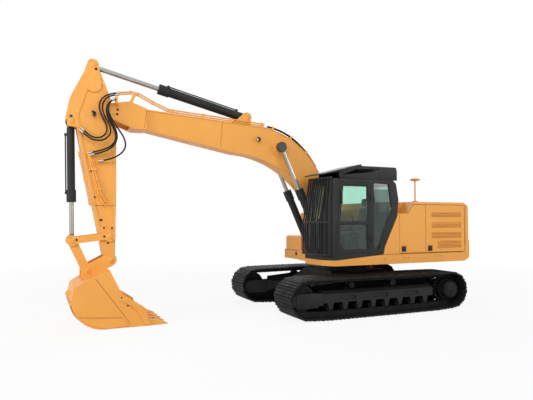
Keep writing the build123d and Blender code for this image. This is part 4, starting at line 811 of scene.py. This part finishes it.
# Rods inside their barrels: the body, its base and end pins, the radius, where the rod begins from the
# base pin, how much further back its shank reaches, and the planes of the cylinders.
RODS = (
    ("boom_rods", BOOM_BASE_PIN, BOOM_ROD_PIN, 0.0470, 1.150, 0.108, (BOOM_CYLINDER_Y, -BOOM_CYLINDER_Y)),
    ("stick_rod", STICK_BASE_PIN, STICK_ROD_PIN, 0.0495, 1.700, 0.385, (0.0,)),
    ("bucket_rod", BUCKET_BASE_PIN, LINK_PIN, 0.0445, 1.250, 0.455, (0.0,)),
)
ROD_CHAMFER = 0.002
ROD_LAP = 0.004


def add_rod_shanks(materials):
    """The inner length of each rod, which keeps it in its barrel at full reach."""
    for body, base, end, radius, start, reach, planes in RODS:
        bm = bmesh.new()
        along = Vector((end[0] - base[0], 0.0, end[1] - base[1])).normalized()
        for y in planes:
            place = at(base[0], y, base[1]) + along * (start - reach)
            shank = [(radius - ROD_CHAMFER, 0.0), (radius, ROD_CHAMFER), (radius, reach + ROD_LAP)]
            turned(bm, place, along, shank, 40)
        add_piece(body + "_shank", bm, body, materials["rod_chrome"])


# A hose fitting's outline, and how far back along the hose it begins.
SLEEVE = ((0.0205, 0.0), (0.0205, 0.045), (0.0265, 0.047), (0.0265, 0.075), (0.0235, 0.078))
SLEEVE_BACK = 0.050


def add_fittings(materials):
    """Plated fittings where each hose meets the boom and the stick."""
    for body, first, second in (("boom", 1, 0), ("stick", -2, -1)):
        bm = bmesh.new()
        for _, route in HOSES.values():
            end = at(*route[second])
            along = (end - at(*route[first])).normalized()
            turned(bm, end - along * SLEEVE_BACK, along, SLEEVE, 12)
        add_piece("fittings_" + body, bm, body, materials["zinc"])


# Door latches, in the front low corner of each door: the door, the two ends in x, and the side.
LATCHES = (
    ("left_front_door", -0.800, -0.660, 1.0),
    ("left_rear_door", -1.570, -1.430, 1.0),
    ("right_front_door", -0.800, -0.660, -1.0),
    ("right_rear_door", -1.570, -1.430, -1.0),
)
LATCH_Z = (1.325, 1.465)
LATCH_INSET_X = 0.012
LATCH_INSET_Z = 0.010
LATCH_THICK = 0.010
GRIP_INSET = 0.035
GRIP_HALF = 0.012
GRIP_REACH = 0.020


def add_latches(materials):
    """A black plate with a grip across it on each service door."""
    for body, x0, x1, side in LATCHES:
        bm = bmesh.new()
        x = (x0 + x1) / 2.0
        z = sum(LATCH_Z) / 2.0
        y = surface_y(body, x, z, side)
        near, far = sorted((y, y + LATCH_THICK * side))
        low = at(x0 + LATCH_INSET_X, near, LATCH_Z[0] + LATCH_INSET_Z)
        high = at(x1 - LATCH_INSET_X, far, LATCH_Z[1] - LATCH_INSET_Z)
        rounded(bm, low, high, 0.004)
        near, far = sorted((y, y + GRIP_REACH * side))
        low = at(x0 + GRIP_INSET, near, z - GRIP_HALF)
        high = at(x1 - GRIP_INSET, far, z + GRIP_HALF)
        rounded(bm, low, high, 0.005)
        add_piece("latch_" + body, bm, body, materials["dark_plastic"])


# Cab door: its axis in x and y, the low and high end of each knuckle, and the handle's ends and middle.
DOOR_HINGE = (0.178, 1.408)
KNUCKLES = ((2.490, 2.650), (1.560, 1.720))
KNUCKLE_R = 0.0165
KNUCKLE_END_R = 0.012
KNUCKLE_CHAMFER = 0.004
HANDLE_X = (0.925, 0.972)
HANDLE_Z = (2.400, 2.690)
HANDLE_MID = (0.948, 2.545)
HANDLE_SUNK = 0.002
HANDLE_REACH = 0.022


def add_door_trim(materials):
    """Round hinge knuckles on the cab door's own axis, and the handle near its front edge."""
    bm = bmesh.new()
    for z0, z1 in KNUCKLES:
        tall = z1 - z0
        knuckle = [
            (KNUCKLE_END_R, 0.0), (KNUCKLE_R, KNUCKLE_CHAMFER),
            (KNUCKLE_R, tall - KNUCKLE_CHAMFER), (KNUCKLE_END_R, tall),
        ]
        turned(bm, at(*DOOR_HINGE, z0), (0.0, 0.0, 1.0), knuckle, 20)
    y = surface_y("cab_door", *HANDLE_MID, 1.0)
    low = at(HANDLE_X[0], y - HANDLE_SUNK, HANDLE_Z[0])
    high = at(HANDLE_X[1], y + HANDLE_REACH, HANDLE_Z[1])
    rounded(bm, low, high, 0.006)
    add_piece("cab_door_trim", bm, "cab_door", materials["dark_plastic"])


# Work lamps on the boom and the stick: the middle of each cup in x, z and y, and how far it leans.
LAMPS = (
    ("boom", boom_at(2.790, 0.962), 0.247, -18.0),
    ("stick", (5.890, 4.173), 0.217, -20.0),
)
LENS_FORM = ((0.047, 0.0), (0.047, 0.003), (0.036, 0.006), (0.018, 0.008), (0.004, 0.0085))
LENS_AHEAD = 0.0565


def add_lenses(materials):
    """A shallow dome in each lamp's mouth."""
    for body, (x, z), y, lean in LAMPS:
        ahead = Vector((cos(radians(lean)), 0.0, sin(radians(lean))))
        bm = bmesh.new()
        turned(bm, at(x, y, z) + ahead * LENS_AHEAD, ahead, LENS_FORM, 32)
        add_piece("lens_" + body, bm, body, materials["lamp_lens"])


# Final drives: the bolts on each cover, the radius of their ring, and their own.
DRIVE_BOLTS = 16
DRIVE_RING = 0.165
DRIVE_BOLT_R = 0.011


def add_drive_bolts(materials):
    """A ring of bolts on each final drive's cover."""
    bm = bmesh.new()
    for side in SIDES:
        for k in range(DRIVE_BOLTS):
            a = 2.0 * pi * k / DRIVE_BOLTS
            x = DRIVE_HUB[0] + DRIVE_RING * cos(a)
            z = DRIVE_HUB[1] + DRIVE_RING * sin(a)
            y = surface_y("drive_sprockets", x, z, side)
            if y is not None:
                bolt(bm, at(x, y, z), (0.0, side, 0.0), DRIVE_BOLT_R)
    add_piece("drive_bolts", bm, "undercarriage", materials["track_steel"])


# Plates on the track frames, in x and z: inside the rollers and above the frame, in near-black painted shade over
# the shaded gaps, and over the idler's yoke.
INNER_SHADE_PLATE = (
    (-1.88, 0.345), (-1.88, 0.200), (-1.80, 0.130), (-1.55, 0.085),
    (1.55, 0.060), (1.90, 0.120), (2.02, 0.200), (2.02, 0.345),
)
UPPER_SHADE_PLATE = (
    (-1.60, 0.480), (-1.70, 0.640), (-1.88, 0.680), (-1.88, 0.735),
    (-1.60, 0.735), (0.80, 0.700), (1.553, 0.640), (1.553, 0.480),
)
YOKE_PLATE = ((1.565, 0.235), (2.085, 0.235), (2.085, 0.540), (1.565, 0.540))
YOKE_BOLTS = ((1.595, 0.265), (1.595, 0.510), (2.055, 0.265), (2.055, 0.510))
YOKE_BOLT_R = 0.010
GUIDE_THICK = 0.015
GUIDE_INSET = 0.004
YOKE_THICK = 0.012
YOKE_INSET = 0.002


def add_track_plates(materials):
    """Near-black plates of painted shade that close the track frames, and a bolted plate on each face of the idler
    yokes.
    """
    inside = bmesh.new()
    outside = bmesh.new()
    for side in SIDES:
        inner = (TRACK_MID - FRAME_HALF + GUIDE_INSET) * side
        for outline in (INNER_SHADE_PLATE, UPPER_SHADE_PLATE):
            slab(inside, outline, inner, inner + GUIDE_THICK * side)
        for face in SIDES:
            y = (TRACK_MID + (FRAME_HALF - YOKE_INSET) * face) * side
            out = side * face
            slab(outside, YOKE_PLATE, y, y + YOKE_THICK * out)
            for x, z in YOKE_BOLTS:
                bolt(outside, at(x, y + YOKE_THICK * out, z), (0.0, out, 0.0), YOKE_BOLT_R)
    # Painted shade: near-black plates where the frames' gaps lie in shade.
    add_piece("track_frame_shade_plates", inside, "undercarriage", materials["shadow_paint"])
    add_piece("yoke_plates", outside, "undercarriage", materials["dark_paint"])


# Roof guard: side frames that slope down to the front, slats across them, a visor, and a near-black panel of
# painted shade that closes the right side. Heights in the outlines are from ROOF_LOW.
ROOF_LOW = CAB_TOP + 0.030
ROOF_HIGH = CAB_TOP + 0.298
SIDE_FRAME = (
    ((-0.56, -0.0297), (-0.05, -0.0297), (-0.05, 0.268), (-0.50, 0.268), (-0.56, 0.208)),
    (
        (-0.06, -0.0297), (0.94, -0.0297), (0.98, 0.030), (0.98, 0.055),
        (0.90, 0.055), (0.13, 0.143), (-0.06, 0.190),
    ),
    (
        (-0.06, 0.216), (0.553, 0.193), (0.90, 0.056), (0.98, 0.050),
        (0.98, 0.110), (0.42, 0.268), (-0.06, 0.268),
    ),
)
BACK_SHADE_PANEL = ((-0.50, 0.0), (0.90, 0.0), (0.93, 0.080), (0.42, 0.242), (-0.50, 0.242))
VISOR = ((0.400, 0.263), (0.900, 0.140), (1.330, 0.053), (1.335, 0.075), (0.910, 0.180), (0.430, 0.303))
SIDE_FRAME_Y = (0.480, 1.340)
SIDE_FRAME_THICK = 0.030
BACK_PANEL_Y = (0.516, 0.528)
VISOR_Y = (0.450, 1.380)
SLATS = 6
SLAT_START = -0.545
SLAT_PITCH = 0.165
SLAT_WIDTH = 0.090
SLAT_Y = (0.485, 1.365)
SLAT_Z = (ROOF_HIGH - 0.026, ROOF_HIGH - 0.001)
FEET = (-0.500, 0.820)
FOOT_WIDTH = 0.080
FOOT_Y = (0.490, 1.360)
FOOT_Z = (CAB_TOP + 0.0003, CAB_TOP + 0.060)
ROOF_SOFT = 0.004


def on_roof(outline):
    """An outline raised to the foot of the roof guard."""
    return [(x, ROOF_LOW + z) for x, z in outline]


def add_roof_guard(materials):
    """The guard over the cab's roof, in the place of the plain cover that carries its load."""
    bm = bmesh.new()
    for y0 in SIDE_FRAME_Y:
        for outline in SIDE_FRAME:
            slab(bm, on_roof(outline), y0, y0 + SIDE_FRAME_THICK)
    for k in range(SLATS):
        x = SLAT_START + SLAT_PITCH * k
        low = at(x, SLAT_Y[0], SLAT_Z[0])
        high = at(x + SLAT_WIDTH, SLAT_Y[1], SLAT_Z[1])
        rounded(bm, low, high, ROOF_SOFT)
    for x in FEET:
        low = at(x, FOOT_Y[0], FOOT_Z[0])
        high = at(x + FOOT_WIDTH, FOOT_Y[1], FOOT_Z[1])
        rounded(bm, low, high, ROOF_SOFT)
    slab(bm, on_roof(VISOR), *VISOR_Y)
    guard = add_piece("roof_guard_frame", bm, "house", materials["guard_paint"])
    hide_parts("roof_guard")
    # Painted shade: a near-black panel that darkens the opening under the guard.
    panels = bmesh.new()
    slab(panels, on_roof(BACK_SHADE_PANEL), *BACK_PANEL_Y)
    add_piece("roof_guard_shade_panel", panels, "house", materials["shadow_paint"])


# Seat: the place of each pad, its half sizes, and how far its top leans back.
PADS = (
    ("seat_cushion", (0.325, SEAT_Y, CAB_FLOOR + 0.385), (0.255, SEAT_HALF - 0.010, 0.062), 0.0),
    ("seat_back", (0.075, SEAT_Y, CAB_FLOOR + 0.690), (0.060, SEAT_HALF * 0.95 - 0.010, 0.315), -0.115),
    ("seat_head", (-0.010, SEAT_Y, CAB_FLOOR + 1.105), (0.042, SEAT_HALF * 0.55 - 0.006, 0.095), -0.015),
)
PAD_CROWN = 0.07
CHANNEL_DEPTH = 0.05
SEAT_BASE_X = (0.10, 0.47)
SEAT_BASE_HALF = 0.17
SEAT_BASE_TALL = 0.322
SEAT_BASE_SOFT = 0.02


def add_seat(materials):
    """A padded seat: crowned pads with sewn channels, on a box base."""
    for name, middle, half, lean in PADS:
        bm = bmesh.new()
        bmesh.ops.create_cube(bm, size=2.0)
        bmesh.ops.subdivide_edges(bm, edges=bm.edges, cuts=7, use_grid_fill=True)
        for v in bm.verts:
            a, b, c = v.co
            pull = [1.0 - PAD_CROWN * (p * p + q * q) for p, q in ((b, c), (a, c), (a, b))]
            channel = CHANNEL_DEPTH if abs(abs(b) - 0.5) < 0.01 and abs(a) < 0.95 else 0.0
            x = half[0] * a * (pull[0] - channel) + lean * (c + 1.0) / 2.0
            y = half[1] * b * pull[1]
            z = half[2] * c * (pull[2] - channel)
            v.co = at(middle[0] + x, middle[1] + y, middle[2] + z)
        pad = add_piece(name, bm, "house", materials["seat_fabric"])
        smooth = pad.modifiers.new("smooth", "SUBSURF")
        smooth.levels = 1
        smooth.render_levels = 1
        if name == "seat_cushion":
            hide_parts("seat")
    bm = bmesh.new()
    low = at(SEAT_BASE_X[0], SEAT_Y - SEAT_BASE_HALF, CAB_FLOOR)
    high = at(SEAT_BASE_X[1], SEAT_Y + SEAT_BASE_HALF, CAB_FLOOR + SEAT_BASE_TALL)
    rounded(bm, low, high, SEAT_BASE_SOFT)
    add_piece("seat_base", bm, "house", materials["dark_plastic"])


MATERIALS = make_materials()
add_camera()
add_hoses(MATERIALS)
add_world()
add_floor()
add_lamps()
finish_nodes(MATERIALS)
add_pins(MATERIALS)
add_seams(MATERIALS)
add_latches(MATERIALS)
add_door_trim(MATERIALS)
add_lenses(MATERIALS)
add_drive_bolts(MATERIALS)
add_bolts(MATERIALS)
add_fittings(MATERIALS)
add_rod_shanks(MATERIALS)
add_sill(MATERIALS)
add_right_front(MATERIALS)
add_track_plates(MATERIALS)
add_roof_guard(MATERIALS)
add_seat(MATERIALS)
